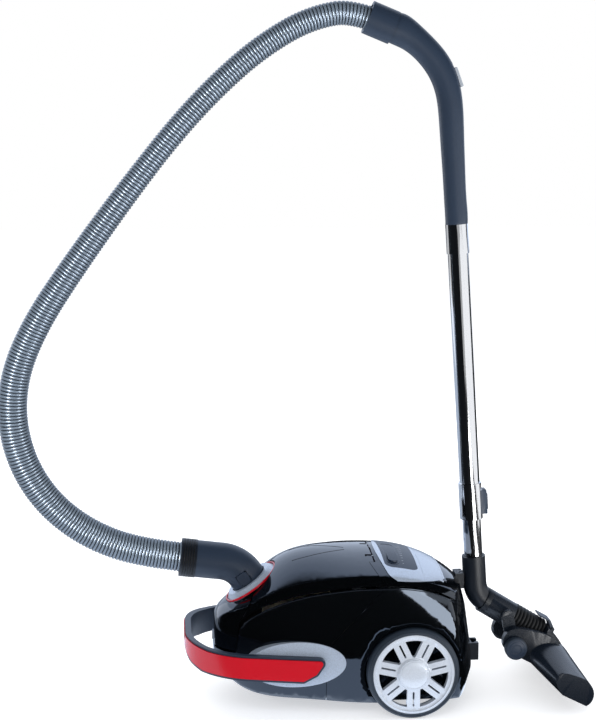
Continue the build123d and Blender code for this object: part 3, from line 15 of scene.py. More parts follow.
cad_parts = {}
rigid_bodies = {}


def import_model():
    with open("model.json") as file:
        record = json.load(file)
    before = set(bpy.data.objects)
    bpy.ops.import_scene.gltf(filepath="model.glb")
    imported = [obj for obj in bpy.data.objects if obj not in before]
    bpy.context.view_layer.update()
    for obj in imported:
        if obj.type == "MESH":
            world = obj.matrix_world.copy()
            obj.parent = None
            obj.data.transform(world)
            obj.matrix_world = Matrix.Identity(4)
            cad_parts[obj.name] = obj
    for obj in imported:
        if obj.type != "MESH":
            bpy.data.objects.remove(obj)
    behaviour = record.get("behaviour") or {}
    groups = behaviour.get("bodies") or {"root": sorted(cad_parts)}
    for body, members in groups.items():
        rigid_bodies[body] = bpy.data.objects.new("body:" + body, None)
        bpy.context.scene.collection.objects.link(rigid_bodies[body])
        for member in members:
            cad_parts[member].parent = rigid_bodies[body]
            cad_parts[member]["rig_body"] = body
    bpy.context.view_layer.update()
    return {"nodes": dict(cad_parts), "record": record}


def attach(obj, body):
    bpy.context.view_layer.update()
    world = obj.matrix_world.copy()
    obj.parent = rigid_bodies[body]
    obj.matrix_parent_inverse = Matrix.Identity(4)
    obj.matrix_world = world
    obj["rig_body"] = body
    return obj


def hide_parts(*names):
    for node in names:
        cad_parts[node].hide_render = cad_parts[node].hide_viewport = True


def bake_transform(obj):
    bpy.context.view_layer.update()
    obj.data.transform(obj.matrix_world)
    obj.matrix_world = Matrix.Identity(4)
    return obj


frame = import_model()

LOG = logging.getLogger("vacuum")
MM = 0.001
FULL_TURN = 2 * math.pi
# Noise lies between these values nearly everywhere.
NOISE_LOW, NOISE_HIGH = 0.3, 0.7
# Sockets whose names repeat on their node: a colour mix, and a curve trimmed by shares of its length.
MIX_A, MIX_B, MIX_RESULT = 6, 7, 2
TRIM_START, TRIM_END = 2, 3
SIDES = ((-1, "left"), (1, "right"))
Point = tuple[float, float, float]
Pair = tuple[float, float]
Area = tuple[float, float, float, float]


class Body(str, Enum):
    """The moving bodies that pieces of this scene ride on."""

    CANISTER = "canister"
    LID = "lid"
    ELBOW = "elbow"
    WHEEL_LEFT = "wheel_left"
    WHEEL_RIGHT = "wheel_right"
    WAND_LOWER = "wand_lower"
    WAND_UPPER = "wand_upper"
    NOZZLE_PIPE = "nozzle_pipe"
    NOZZLE_HEAD = "nozzle_head"
    NOZZLE_WHEELS = "nozzle_wheels"
    BRUSH = "brush_strip"


def linear(code: str) -> tuple[float, float, float, float]:
    """Turns an sRGB hex colour into linear light.

    Args:
        code: six hex digits.

    Returns:
        Red, green, blue and alpha.
    """
    shares = [int(code[at : at + 2], 16) / 255 for at in (0, 2, 4)]
    light = [s / 12.92 if s <= 0.04045 else ((s + 0.055) / 1.055) ** 2.4 for s in shares]
    return (light[0], light[1], light[2], 1.0)


def add(
    tree: bpy.types.NodeTree, kind: str, inputs: dict[Any, Any] | None = None, **settings: Any
) -> bpy.types.Node:
    """Adds a node with its settings and links.

    Args:
        tree: the tree that gets the node.
        kind: the node's type name.
        inputs: socket name or number to a value, to the socket it is linked from, or to a node, which
            stands for its first output.
        settings: the node's own properties.

    Returns:
        The new node.
    """
    made = tree.nodes.new(kind)
    for name, value in settings.items():
        setattr(made, name, value)
    for key, value in (inputs or {}).items():
        source = value.outputs[0] if isinstance(value, bpy.types.Node) else value
        if isinstance(source, bpy.types.NodeSocket):
            tree.links.new(source, made.inputs[key])
        else:
            made.inputs[key].default_value = source
    return made


@dataclass(frozen=True)
class Finish:
    """A moulded, painted or plated surface with a fine grain.

    The grain roughens the gloss a little and lifts the surface by a few hundredths of a millimetre.
    """

    name: str
    colour: str
    roughness: float
    metallic: float = 0.0
    coat: float = 0.0
    grain_mm: float = 0.6
    grain_height_mm: float = 0.0
    rough_spread: float = 0.04
    shade: float = 0.06
    ior: float = 1.5
    shine: str = "ffffff"
    drift_per_m: float = 22.0
    coat_roughness: float = 0.04
    least_roughness: float = 0.02

    def material(self) -> bpy.types.Material:
        """Makes the material, or returns the one made before."""
        known = bpy.data.materials.get(self.name)
        if known is not None:
            return known
        made = bpy.data.materials.new(self.name)
        made.use_nodes = True
        tree = made.node_tree
        tree.nodes.clear()
        place = add(tree, "ShaderNodeTexCoord").outputs["Object"]
        shader = add(tree, "ShaderNodeBsdfPrincipled")
        self.paint(tree, place, shader)
        add(tree, "ShaderNodeOutputMaterial", {"Surface": shader})
        return made

    def shader(self) -> bpy.types.Node:
        """The material's principled shader."""
        return next(node for node in self.material().node_tree.nodes if node.type == "BSDF_PRINCIPLED")

    def glow(self, colour: str, strength: float) -> None:
        """Gives the material light of its own.

        Args:
            colour: the light's colour.
            strength: its strength.
        """
        self.shader().inputs["Emission Color"].default_value = linear(colour)
        self.shader().inputs["Emission Strength"].default_value = strength

    def paint(self, tree: bpy.types.NodeTree, place: bpy.types.NodeSocket, shader: bpy.types.Node) -> None:
        """Fills the shader's sockets.

        Args:
            tree: the material's tree.
            place: the coordinates that patterns read.
            shader: the principled shader.
        """
        grain = add(
            tree,
            "ShaderNodeTexNoise",
            {"Vector": place, "Scale": 1 / (self.grain_mm * MM), "Detail": 3.0, "Roughness": 0.55},
        )
        drift = add(tree, "ShaderNodeTexNoise", {"Vector": place, "Scale": self.drift_per_m, "Detail": 2.0})
        colour = linear(self.colour)[:3]
        dark = (*(share * (1 - self.shade) for share in colour), 1.0)
        light = (*(min(1.0, share * (1 + self.shade)) for share in colour), 1.0)
        tone = add(tree, "ShaderNodeMix", {"Factor": drift, MIX_A: dark, MIX_B: light}, data_type="RGBA")
        gloss = add(
            tree,
            "ShaderNodeMapRange",
            {
                "Value": grain,
                "From Min": NOISE_LOW,
                "From Max": NOISE_HIGH,
                "To Min": max(self.least_roughness, self.roughness - self.rough_spread),
                "To Max": self.roughness + self.rough_spread,
            },
        )
        tree.links.new(tone.outputs[MIX_RESULT], shader.inputs["Base Color"])
        tree.links.new(gloss.outputs["Result"], shader.inputs["Roughness"])
        constants = {
            "Metallic": self.metallic,
            "IOR": self.ior,
            "Specular Tint": linear(self.shine),
            "Coat Weight": self.coat,
            "Coat Roughness": self.coat_roughness,
        }
        for name, value in constants.items():
            shader.inputs[name].default_value = value
        if self.grain_height_mm:
            lift = {"Height": grain, "Strength": 1.0, "Distance": self.grain_height_mm * MM}
            bump = add(tree, "ShaderNodeBump", lift)
            tree.links.new(bump.outputs["Normal"], shader.inputs["Normal"])


@dataclass(frozen=True)
class RibbedVinyl(Finish):
    """Ribbed vinyl hose: grey crests, and painted shade that darkens the valleys, read from the ribs' own
    height.
    """

    valley_shade_colour: str = "14171b"
    valley_shade_span: Pair = (0.35, 0.95)

    def paint(self, tree: bpy.types.NodeTree, place: bpy.types.NodeSocket, shader: bpy.types.Node) -> None:
        """Paints shade into the valleys and leaves the crests in the plain tone.

        Args:
            tree: the material's tree.
            place: the coordinates that patterns read.
            shader: the principled shader.
        """
        super().paint(tree, place, shader)
        crest = add(tree, "ShaderNodeAttribute", attribute_name="crest").outputs["Fac"]
        rise = add(
            tree,
            "ShaderNodeMapRange",
            {"Value": crest, "From Min": self.valley_shade_span[0], "From Max": self.valley_shade_span[1]},
            interpolation_type="SMOOTHSTEP",
        )
        tone = shader.inputs["Base Color"].links[0].from_socket
        # Painted shade: the valleys between the ribs are mixed towards a near-black colour.
        colours = {"Factor": rise, MIX_A: linear(self.valley_shade_colour), MIX_B: tone}
        mixed = add(tree, "ShaderNodeMix", colours, data_type="RGBA")
        tree.links.new(mixed.outputs[MIX_RESULT], shader.inputs["Base Color"])


@dataclass(frozen=True)
class FlakePaint(Finish):
    """Silver paint under a clear coat: its metal flakes are drawn 0.7 mm wide, coarse enough to show."""

    flake_mm: float = 0.7
    sparkle: float = 0.16

    def paint(self, tree: bpy.types.NodeTree, place: bpy.types.NodeSocket, shader: bpy.types.Node) -> None:
        """Adds the flakes to the plain finish.

        Args:
            tree: the material's tree.
            place: the coordinates that patterns read.
            shader: the principled shader.
        """
        super().paint(tree, place, shader)
        flakes = add(tree, "ShaderNodeTexVoronoi", {"Vector": place, "Scale": 1 / (self.flake_mm * MM)})
        glint = add(tree, "ShaderNodeSeparateColor", {"Color": flakes.outputs["Color"]})
        lift = add(
            tree,
            "ShaderNodeMapRange",
            {"Value": glint.outputs["Red"], "To Min": 1 - self.sparkle, "To Max": 1 + self.sparkle},
        )
        tone = shader.inputs["Base Color"].links[0].from_socket
        lit = add(tree, "ShaderNodeVectorMath", {0: tone, "Scale": lift}, operation="SCALE")
        tree.links.new(lit.outputs["Vector"], shader.inputs["Base Color"])


@dataclass(frozen=True)
class DrawnChrome(Finish):
    """Chrome on a drawn steel tube: faint lines along the tube soften the mirror."""

    line_mm: float = 0.5
    line_length_mm: float = 70.0

    def paint(self, tree: bpy.types.NodeTree, place: bpy.types.NodeSocket, shader: bpy.types.Node) -> None:
        """Adds the draw lines to the plain finish.

        Args:
            tree: the material's tree.
            place: the coordinates that patterns read.
            shader: the principled shader.
        """
        super().paint(tree, place, shader)
        across, along = 1 / (self.line_mm * MM), 1 / (self.line_length_mm * MM)
        drawn = add(tree, "ShaderNodeMapping", {"Vector": place, "Scale": (across, across, along)})
        lines = add(tree, "ShaderNodeTexNoise", {"Vector": drawn, "Scale": 1.0, "Detail": 2.0})
        gloss = add(
            tree,
            "ShaderNodeMapRange",
            {
                "Value": lines,
                "From Min": NOISE_LOW,
                "From Max": NOISE_HIGH,
                "To Min": self.roughness,
                "To Max": self.roughness + 2 * self.rough_spread,
            },
        )
        tree.links.new(gloss.outputs["Result"], shader.inputs["Roughness"])


# Piano-black ABS, polished in the mould: a deep mirror with the faintest orange peel.
GLOSS_BLACK = Finish(
    "gloss_black_abs",
    "040506",
    0.05,
    grain_mm=6.0,
    grain_height_mm=0.004,
    rough_spread=0.012,
    shade=0.1,
    ior=1.7,
    shine="d9e9ff",
)
# Satin ABS with a spark-eroded grain, dark blue-grey: soft highlights that fade along the form.
DARK_SATIN = Finish(
    "satin_dark_abs", "263345", 0.4, grain_mm=0.5, grain_height_mm=0.02, rough_spread=0.06, shade=0.08
)
# Half-gloss ABS of the floor nozzle: broad soft highlights.
HALF_GLOSS = Finish(
    "half_gloss_dark_abs", "161d27", 0.27, grain_mm=0.7, grain_height_mm=0.006, rough_spread=0.05, shade=0.08
)
# Satin black ABS of the nozzle's neck, the hose cuff and the brackets: dark, with a faint sheen.
SATIN_BLACK = Finish(
    "satin_black_abs", "121923", 0.4, grain_mm=0.5, grain_height_mm=0.02, rough_spread=0.06, shade=0.08
)
# Silver paint over ABS: fine metal flake under a clear coat.
SILVER = FlakePaint(
    "silver_painted_abs", "b9c5d6", 0.34, metallic=0.4, coat=0.3, grain_mm=0.35, rough_spread=0.07
)
# Red gloss ABS: a clear strong colour under a shallow shine.
RED = Finish(
    "red_gloss_abs", "c0051c", 0.2, grain_mm=4.0, grain_height_mm=0.003, rough_spread=0.03, shade=0.05
)
# Wheel rims in a paler silver paint.
RIM_SILVER = FlakePaint(
    "pale_silver_painted_rim",
    "ced5df",
    0.3,
    metallic=0.25,
    coat=0.3,
    grain_mm=0.35,
    rough_spread=0.06,
    sparkle=0.1,
)
# Dark grey moulded tyre rubber, slightly dusty.
TYRE = Finish(
    "dark_grey_tyre_rubber", "27323f", 0.55, grain_mm=0.8, grain_height_mm=0.03, rough_spread=0.1, shade=0.12
)
# Black rubber for seals, mounts and the bellows: matt, with a fine moulded grain.
RUBBER = Finish(
    "black_rubber", "16181b", 0.5, grain_mm=0.6, grain_height_mm=0.02, rough_spread=0.08, shade=0.1
)
# Chrome plate on a drawn tube: a clear mirror with faint draw marks.
CHROME = DrawnChrome(
    "chrome_plated_tube", "d9dbdf", 0.05, metallic=1.0, grain_mm=3.0, rough_spread=0.03, shade=0.02
)
# Zinc plated steel: a dull pale metal.
ZINC = Finish("zinc_plated_steel", "a7a9ad", 0.32, metallic=1.0, grain_mm=0.8, rough_spread=0.1, shade=0.08)
# Pale grey moulded ABS of the inner works: plain satin.
PALE_GREY = Finish(
    "pale_grey_abs", "9aa0a8", 0.4, grain_mm=0.6, grain_height_mm=0.015, rough_spread=0.06, shade=0.06
)
# Pale grey ink, pad-printed on the controls: matt.
INK = Finish("pale_grey_ink", "aab0b8", 0.5, grain_mm=0.4, rough_spread=0.05, shade=0.08)
# Filter paper of the dust bag: matt, fibrous.
PAPER = Finish(
    "filter_paper", "d8cdb6", 0.9, grain_mm=1.2, grain_height_mm=0.08, rough_spread=0.05, shade=0.12
)
# Open-cell filter foam: deep pores and no gloss.
FOAM = Finish("filter_foam", "35383d", 0.95, grain_mm=1.5, grain_height_mm=0.4, rough_spread=0.05, shade=0.3)
# Nylon bristle: dark, with a slight shine.
BRISTLE = Finish("nylon_bristle", "1b1c1f", 0.45, grain_mm=0.5, rough_spread=0.08, shade=0.2)
# Grey vinyl of the hose, with a metallic sheen, and painted shade in the valleys between its ribs.
HOSE_VINYL = RibbedVinyl(
    "ribbed_grey_vinyl",
    "56606b",
    0.3,
    metallic=0.5,
    grain_mm=0.7,
    rough_spread=0.07,
    shade=0.08,
    valley_shade_colour="0d1219",
)


def place_piece(piece: bpy.types.Object, body: Body | str, slot: str, *nodes: str) -> bpy.types.Object:
    """Makes a finished piece ride on its body, and stand for its nodes.

    Args:
        piece: the object, in place.
        body: the body it moves with.
        slot: the record's material slot; not used.
        nodes: the CAD nodes that it stands for.

    Returns:
        The piece.
    """
    if nodes:
        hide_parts(*nodes)
    carrier = body.value if isinstance(body, Body) else body
    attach(piece, carrier)
    LOG.info("%s rides on %s", piece.name, carrier)
    return piece


def new_object(name: str, mesh: bpy.types.Mesh, finish: Finish) -> bpy.types.Object:
    """Links a mesh into the scene with one finish.

    Args:
        name: the piece's name.
        mesh: its mesh.
        finish: its finish.

    Returns:
        The new object.
    """
    piece = bpy.data.objects.new(name, mesh)
    bpy.context.scene.collection.objects.link(piece)
    mesh.materials.clear()
    mesh.materials.append(finish.material())
    for polygon in mesh.polygons:
        polygon.material_index = 0
    return piece


@contextmanager
def editing(mesh: bpy.types.Mesh) -> Iterator[bmesh.types.BMesh]:
    """Opens a mesh for editing, and writes it back afterwards.

    Args:
        mesh: the mesh to edit.

    Returns:
        Its form while it is edited.
    """
    form = bmesh.new()
    form.from_mesh(mesh)
    yield form
    form.to_mesh(mesh)
    form.free()


def join_rings(form: bmesh.types.BMesh, rings: Sequence[Sequence[bmesh.types.BMVert]]) -> None:
    """Lays faces from each ring of points to the next.

    Args:
        form: the form that gets the faces.
        rings: the rings, all with the same number of points.
    """
    for low, high in zip(rings, rings[1:]):
        for at in range(len(low)):
            after = (at + 1) % len(low)
            form.faces.new((low[at], low[after], high[after], high[at]))


def shade_smooth(mesh: bpy.types.Mesh, crease_deg: float | None = None) -> None:
    """Shades a mesh as one smooth surface.

    Args:
        mesh: the mesh.
        crease_deg: the angle past which an edge stays sharp, if any does.
    """
    for polygon in mesh.polygons:
        polygon.use_smooth = True
    if crease_deg is not None:
        mesh.set_sharp_from_angle(angle=math.radians(crease_deg))


def slot_of_node(name: str) -> str:
    """The record's material slot of a CAD node."""
    return next(part["material_slot"] for part in frame["record"]["subparts"] if part["node"] == name)


@dataclass
class Moulding:
    """A rigid piece whose CAD form is right: its facets are merged and shaded as one smooth surface."""

    node: str
    finish: Finish
    crease_deg: float = 26.0
    weld_mm: float = 0.002
    area_weight: int = 80

    def build(self) -> bpy.types.Object:
        """Makes the smooth piece and puts it in the node's place."""
        source = frame["nodes"][self.node]
        mesh = source.data.copy()
        mesh.name = f"{self.node}_skin"
        with editing(mesh) as form:
            bmesh.ops.remove_doubles(form, verts=form.verts, dist=self.weld_mm * MM)
        shade_smooth(mesh, self.crease_deg)
        piece = new_object(f"{self.node}_skin", mesh, self.finish)
        even = piece.modifiers.new("even_shading", "WEIGHTED_NORMAL")
        even.mode = "FACE_AREA"
        even.weight = self.area_weight
        even.keep_sharp = True
        return place_piece(piece, source["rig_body"], slot_of_node(self.node), self.node)


@dataclass
class TubeCollar(Moulding):
    """The chrome-plated collar of the telescopic tube, and the dark housing of its release button."""

    foot_mm: Point = (160.0, 0.0, 241.5)
    lean_deg: float = 3.9
    house_from_mm: float = 20.3

    def build(self) -> bpy.types.Object:
        """Makes the collar, then gives the housing its own finish."""
        piece = super().build()
        lean = math.radians(self.lean_deg)
        up = Vector((-math.sin(lean), 0.0, math.cos(lean)))
        foot = Vector(self.foot_mm) * MM
        piece.data.materials.append(DARK_SATIN.material())
        for polygon in piece.data.polygons:
            arms = [piece.data.vertices[at].co - foot for at in polygon.vertices]
            if max((arm - up * arm.dot(up)).length for arm in arms) > self.house_from_mm * MM:
                polygon.material_index = 1
        return piece


def line_mesh(name: str, points: Sequence[Vector], closed: bool = False) -> bpy.types.Mesh:
    """Makes a mesh of one line.

    Args:
        name: the mesh's name.
        points: the line.
        closed: true where the last point joins the first.

    Returns:
        The mesh, with edges alone.
    """
    mesh = bpy.data.meshes.new(f"{name}_line")
    pairs = [(at, at + 1) for at in range(len(points) - 1)]
    if closed:
        pairs.append((len(points) - 1, 0))
    mesh.from_pydata([tuple(point) for point in points], pairs, [])
    return mesh


def run_tree(
    name: str, mesh: bpy.types.Mesh, tree: bpy.types.NodeTree, values: dict[str, Any]
) -> bpy.types.Mesh:
    """Runs a node tree on a mesh.

    Args:
        name: the name of the mesh that comes out.
        mesh: the mesh that goes in.
        tree: the tree to run.
        values: its inputs by name.

    Returns:
        The result as a plain mesh, with its faces turned outwards.
    """
    worker = bpy.data.objects.new(mesh.name, mesh)
    bpy.context.scene.collection.objects.link(worker)
    modifier = worker.modifiers.new("form", "NODES")
    modifier.node_group = tree
    for item in tree.interface.items_tree:
        if item.in_out == "INPUT" and item.name in values:
            modifier[item.identifier] = values[item.name]
    view = bpy.context.evaluated_depsgraph_get()
    made = bpy.data.meshes.new_from_object(worker.evaluated_get(view), depsgraph=view)
    made.name = name
    bpy.data.objects.remove(worker)
    with editing(made) as form:
        bmesh.ops.recalc_face_normals(form, faces=form.faces)
    return made


def points_of(curve: bpy.types.Curve) -> list[Vector]:
    """Reads the points along a curve that has no bevel.

    Args:
        curve: the curve, in metres.

    Returns:
        Its points in order.
    """
    holder = bpy.data.objects.new(curve.name, curve)
    bpy.context.scene.collection.objects.link(holder)
    bpy.context.view_layer.update()
    line = bpy.data.meshes.new_from_object(holder)
    points = [vertex.co.copy() for vertex in line.vertices]
    bpy.data.objects.remove(holder)
    bpy.data.meshes.remove(line)
    return points


def smooth_line(points_mm: Sequence[Point], steps: int = 12) -> list[Vector]:
    """Draws a smooth line through points.

    Args:
        points_mm: the points, in millimetres.
        steps: points made between each two.

    Returns:
        The line's points in metres.
    """
    curve = bpy.data.curves.new("line", "CURVE")
    curve.dimensions = "3D"
    curve.resolution_u = steps
    spline = curve.splines.new("BEZIER")
    spline.bezier_points.add(len(points_mm) - 1)
    for knot, place in zip(spline.bezier_points, points_mm):
        knot.co = Vector(place) * MM
        knot.handle_left_type = knot.handle_right_type = "AUTO"
    return points_of(curve)


@dataclass
class Surface:
    """The outside of some CAD nodes, for details that lie on them."""

    nodes: tuple[str, ...]
    aside_m: float = 0.4
    above_m: float = 0.5
    finder: BVHTree = field(init=False)

    def __post_init__(self) -> None:
        """Gathers the nodes' triangles."""
        corners: list[Vector] = []
        faces: list[tuple[int, ...]] = []
        for name in self.nodes:
            mesh = frame["nodes"][name].data
            base = len(corners)
            corners += [vertex.co.copy() for vertex in mesh.vertices]
            faces += [tuple(base + at for at in polygon.vertices) for polygon in mesh.polygons]
        self.finder = BVHTree.FromPolygons(corners, faces)

    def hit(self, start: Vector, direction: Vector) -> tuple[Vector, Vector] | None:
        """Finds where a ray meets the surface.

        Args:
            start: the ray's start.
            direction: its direction.

        Returns:
            The point and the outward normal, or nothing.
        """
        place, normal, _, _ = self.finder.ray_cast(start, direction.normalized())
        if place is None:
            return None
        return place, (normal if normal.dot(direction) < 0 else -normal)

    def from_side(self, line: Sequence[Vector], side: int) -> list[tuple[Vector, Vector]]:
        """Lays a side-view line on the surface, seen from one side."""
        hits = [self.hit(Vector((at.x, side * self.aside_m, at.z)), Vector((0, -side, 0))) for at in line]
        return [found for found in hits if found is not None]

    def from_above(self, line: Sequence[Vector]) -> list[tuple[Vector, Vector]]:
        """Lays a plan-view line on the surface, seen from above."""
        hits = [self.hit(Vector((at.x, at.y, self.above_m)), Vector((0, 0, -1))) for at in line]
        return [found for found in hits if found is not None]


class Trees:
    """The node trees of what repeats or follows a line."""

    @staticmethod
    def start(name: str, given: str, sizes: Sequence[str], counts: Sequence[str] = ()) -> bpy.types.NodeTree:
        """Makes a tree with named inputs, the last of them for its finish.

        Args:
            name: the tree's name.
            given: the name of the geometry that goes in.
            sizes: the inputs that are lengths, shares or angles.
            counts: the inputs that are whole numbers.

        Returns:
            The tree, with no node yet.
        """
        tree = bpy.data.node_groups.new(name, "GeometryNodeTree")
        sockets = [(given, "Geometry")]
        sockets += [(word, "Float") for word in sizes]
        sockets += [(word, "Int") for word in counts]
        sockets.append(("Finish", "Material"))
        for word, kind in sockets:
            tree.interface.new_socket(word, in_out="INPUT", socket_type=f"NodeSocket{kind}")
        tree.interface.new_socket("Form", in_out="OUTPUT", socket_type="NodeSocketGeometry")
        return tree

    @staticmethod
    def end(tree: bpy.types.NodeTree, form: bpy.types.Node, finish: bpy.types.NodeSocket, soft: bool) -> None:
        """Turns the form into one plain mesh with its finish.

        Args:
            tree: the tree.
            form: the node that makes the form.
            finish: the socket that gives the finish.
            soft: true where the form is shaded smooth.
        """
        whole = add(tree, "GeometryNodeRealizeInstances", {0: form})
        if soft:
            whole = add(tree, "GeometryNodeSetShadeSmooth", {"Geometry": whole, "Shade Smooth": True})
        coated = add(tree, "GeometryNodeSetMaterial", {"Geometry": whole, "Material": finish})
        add(tree, "NodeGroupOutput", {"Form": coated})

    @staticmethod
    def bead() -> bpy.types.NodeTree:
        """Makes the tree that turns a line into a thin bead.

        Returns:
            The node tree, with inputs for its radius, its sides and its finish.
        """
        known = bpy.data.node_groups.get("bead")
        if known is not None:
            return known
        tree = Trees.start("bead", "Line", ("Radius",), ("Sides",))
        given = add(tree, "NodeGroupInput").outputs
        line = add(tree, "GeometryNodeMeshToCurve", {"Mesh": given["Line"]})
        circle = {"Resolution": given["Sides"], "Radius": given["Radius"]}
        ring = add(tree, "GeometryNodeCurvePrimitiveCircle", circle)
        sweep = {"Curve": line, "Profile Curve": ring, "Fill Caps": True}
        tube = add(tree, "GeometryNodeCurveToMesh", sweep)
        Trees.end(tree, tube, given["Finish"], True)
        return tree

    @staticmethod
    def ribs(nudge: float = 0.0005, roundness: float = 0.55) -> bpy.types.NodeTree:
        """Makes the tree that turns a line into a ribbed tube.

        Args:
            nudge: share of a rib that keeps the last point on its own rib.
            roundness: power of the ribs' section, where a half is round and one is pointed.

        Returns:
            The node tree, with named inputs for its sizes.
        """
        known = bpy.data.node_groups.get("tube_ribs")
        if known is not None:
            return known
        sizes = ("Start", "End", "Low Radius", "High Radius", "Taper Start", "Taper End", "Rib Depth")
        tree = Trees.start("tube_ribs", "Line", sizes, ("Ribs", "Points", "Sides"))
        given = add(tree, "NodeGroupInput").outputs
        line = add(tree, "GeometryNodeMeshToCurve", {"Mesh": given["Line"]})
        span = {"Curve": line, TRIM_START: given["Start"], TRIM_END: given["End"]}
        trimmed = add(tree, "GeometryNodeTrimCurve", span)
        even = add(tree, "GeometryNodeResampleCurve", {"Curve": trimmed, "Count": given["Points"]})
        factor = add(tree, "GeometryNodeSplineParameter").outputs["Factor"]
        ends = {"Value": factor, "To Min": given["Start"], "To Max": given["End"]}
        share = add(tree, "ShaderNodeMapRange", ends)
        turns = add(tree, "ShaderNodeMath", {0: share, 1: given["Ribs"]}, operation="MULTIPLY")
        nudged = add(tree, "ShaderNodeMath", {0: turns, 1: nudge}, operation="ADD")
        phase = add(tree, "ShaderNodeMath", {0: nudged}, operation="FRACT")
        sway = add(tree, "ShaderNodeMath", {0: phase, 1: 2.0, 2: -1.0}, operation="MULTIPLY_ADD")
        square = add(tree, "ShaderNodeMath", {0: sway, 1: sway}, operation="MULTIPLY")
        left = add(tree, "ShaderNodeMath", {0: 1.0, 1: square}, operation="SUBTRACT", use_clamp=True)
        crest = add(tree, "ShaderNodeMath", {0: left, 1: roundness}, operation="POWER")
        radius = add(
            tree,
            "ShaderNodeMapRange",
            {
                "Value": share,
                "From Min": given["Taper Start"],
                "From Max": given["Taper End"],
                "To Min": given["Low Radius"],
                "To Max": given["High Radius"],
            },
        )
        drop = add(tree, "ShaderNodeMath", {0: 1.0, 1: crest}, operation="SUBTRACT")
        cut = add(tree, "ShaderNodeMath", {0: drop, 1: given["Rib Depth"]}, operation="MULTIPLY")
        final = add(tree, "ShaderNodeMath", {0: radius, 1: cut}, operation="SUBTRACT")
        marked = add(
            tree,
            "GeometryNodeStoreNamedAttribute",
            {"Geometry": even, "Name": "crest", "Value": crest},
            data_type="FLOAT",
            domain="POINT",
        )
        ring = add(tree, "GeometryNodeCurvePrimitiveCircle", {"Resolution": given["Sides"], "Radius": 1.0})
        tube = add(tree, "GeometryNodeCurveToMesh", {"Curve": marked, "Profile Curve": ring, "Scale": final})
        Trees.end(tree, tube, given["Finish"], True)
        return tree

    @staticmethod
    def marks() -> bpy.types.NodeTree:
        """Makes the tree that sets a flat printed bar on each point, square to the surface.

        Returns:
            The node tree, with inputs for the bars' width and thickness.
        """
        tree = Trees.start("printed_marks", "Places", ("Width", "Thickness"))
        given = add(tree, "NodeGroupInput").outputs
        facing = add(tree, "GeometryNodeInputNamedAttribute", {"Name": "facing"}, data_type="FLOAT_VECTOR")
        reach = add(tree, "GeometryNodeInputNamedAttribute", {"Name": "reach"}, data_type="FLOAT")
        outward = {"Vector": facing.outputs["Attribute"]}
        turn = add(tree, "FunctionNodeAlignRotationToVector", outward, axis="Z")
        spans = {"X": reach.outputs["Attribute"], "Y": given["Width"], "Z": given["Thickness"]}
        size = add(tree, "ShaderNodeCombineXYZ", spans)
        bar = add(tree, "GeometryNodeMeshCube", {"Size": (1.0, 1.0, 1.0)})
        spots = add(tree, "GeometryNodeMeshToPoints", {"Mesh": given["Places"]})
        copies = {"Points": spots, "Instance": bar, "Rotation": turn, "Scale": size}
        bars = add(tree, "GeometryNodeInstanceOnPoints", copies)
        Trees.end(tree, bars, given["Finish"], False)
        return tree

    @staticmethod
    def bristles(seed: int = 7, facets: int = 6) -> bpy.types.NodeTree:
        """Makes the tree that plants leaning tufts on a grid.

        Args:
            seed: the seed of the tufts' lean.
            facets: sides of a tuft.

        Returns:
            The node tree, with inputs for the field's size, the rows and the tufts' size.
        """
        sizes = ("Width", "Length", "Tuft Radius", "Tuft Height", "Lean")
        tree = Trees.start("bristle_field", "Field", sizes, ("Across", "Along"))
        given = add(tree, "NodeGroupInput").outputs
        extent = {
            "Size X": given["Width"],
            "Size Y": given["Length"],
            "Vertices X": given["Across"],
            "Vertices Y": given["Along"],
        }
        grid = add(tree, "GeometryNodeMeshGrid", extent)
        post = {
            "Vertices": facets,
            "Radius Top": given["Tuft Radius"],
            "Radius Bottom": given["Tuft Radius"],
            "Depth": given["Tuft Height"],
        }
        tuft = add(tree, "GeometryNodeMeshCone", post)
        least = add(tree, "ShaderNodeMath", {0: given["Lean"], 1: -1.0}, operation="MULTIPLY")
        low = add(tree, "ShaderNodeCombineXYZ", {axis: least for axis in "XYZ"})
        high = add(tree, "ShaderNodeCombineXYZ", {axis: given["Lean"] for axis in "XYZ"})
        spread = {0: low, 1: high, "Seed": seed}
        lean = add(tree, "FunctionNodeRandomValue", spread, data_type="FLOAT_VECTOR")
        turn = add(tree, "FunctionNodeEulerToRotation", {"Euler": lean})
        copies = {"Points": grid, "Instance": tuft, "Rotation": turn}
        planted = add(tree, "GeometryNodeInstanceOnPoints", copies)
        Trees.end(tree, planted, given["Finish"], False)
        return tree


@dataclass(frozen=True)
class RibbedTube:
    """The sizes of a ribbed tube: it tapers between two shares of its line."""

    low_radius_mm: float
    high_radius_mm: float
    taper: Pair
    depth_mm: float
    ribs: int
    steps_per_rib: int
    sides: int
    finish: Finish

    def make(
        self, name: str, line: Sequence[Vector], start: float = 0.0, end: float = 1.0
    ) -> bpy.types.Object:
        """Makes a stretch of the tube, cut between two ribs.

        Args:
            name: the piece's name.
            line: the whole tube's line.
            start: where the stretch begins, as a share of the line.
            end: where it ends.

        Returns:
            The stretch as a plain mesh.
        """
        first = round(start * self.ribs) / self.ribs
        last = round(end * self.ribs) / self.ribs
        values = {
            "Start": first,
            "End": last,
            "Low Radius": self.low_radius_mm * MM,
            "High Radius": self.high_radius_mm * MM,
            "Taper Start": self.taper[0],
            "Taper End": self.taper[1],
            "Rib Depth": self.depth_mm * MM,
            "Ribs": self.ribs,
            "Points": round((last - first) * self.ribs) * self.steps_per_rib + 1,
            "Sides": self.sides,
            "Finish": self.finish.material(),
        }
        return new_object(name, run_tree(name, line_mesh(name, line), Trees.ribs(), values), self.finish)


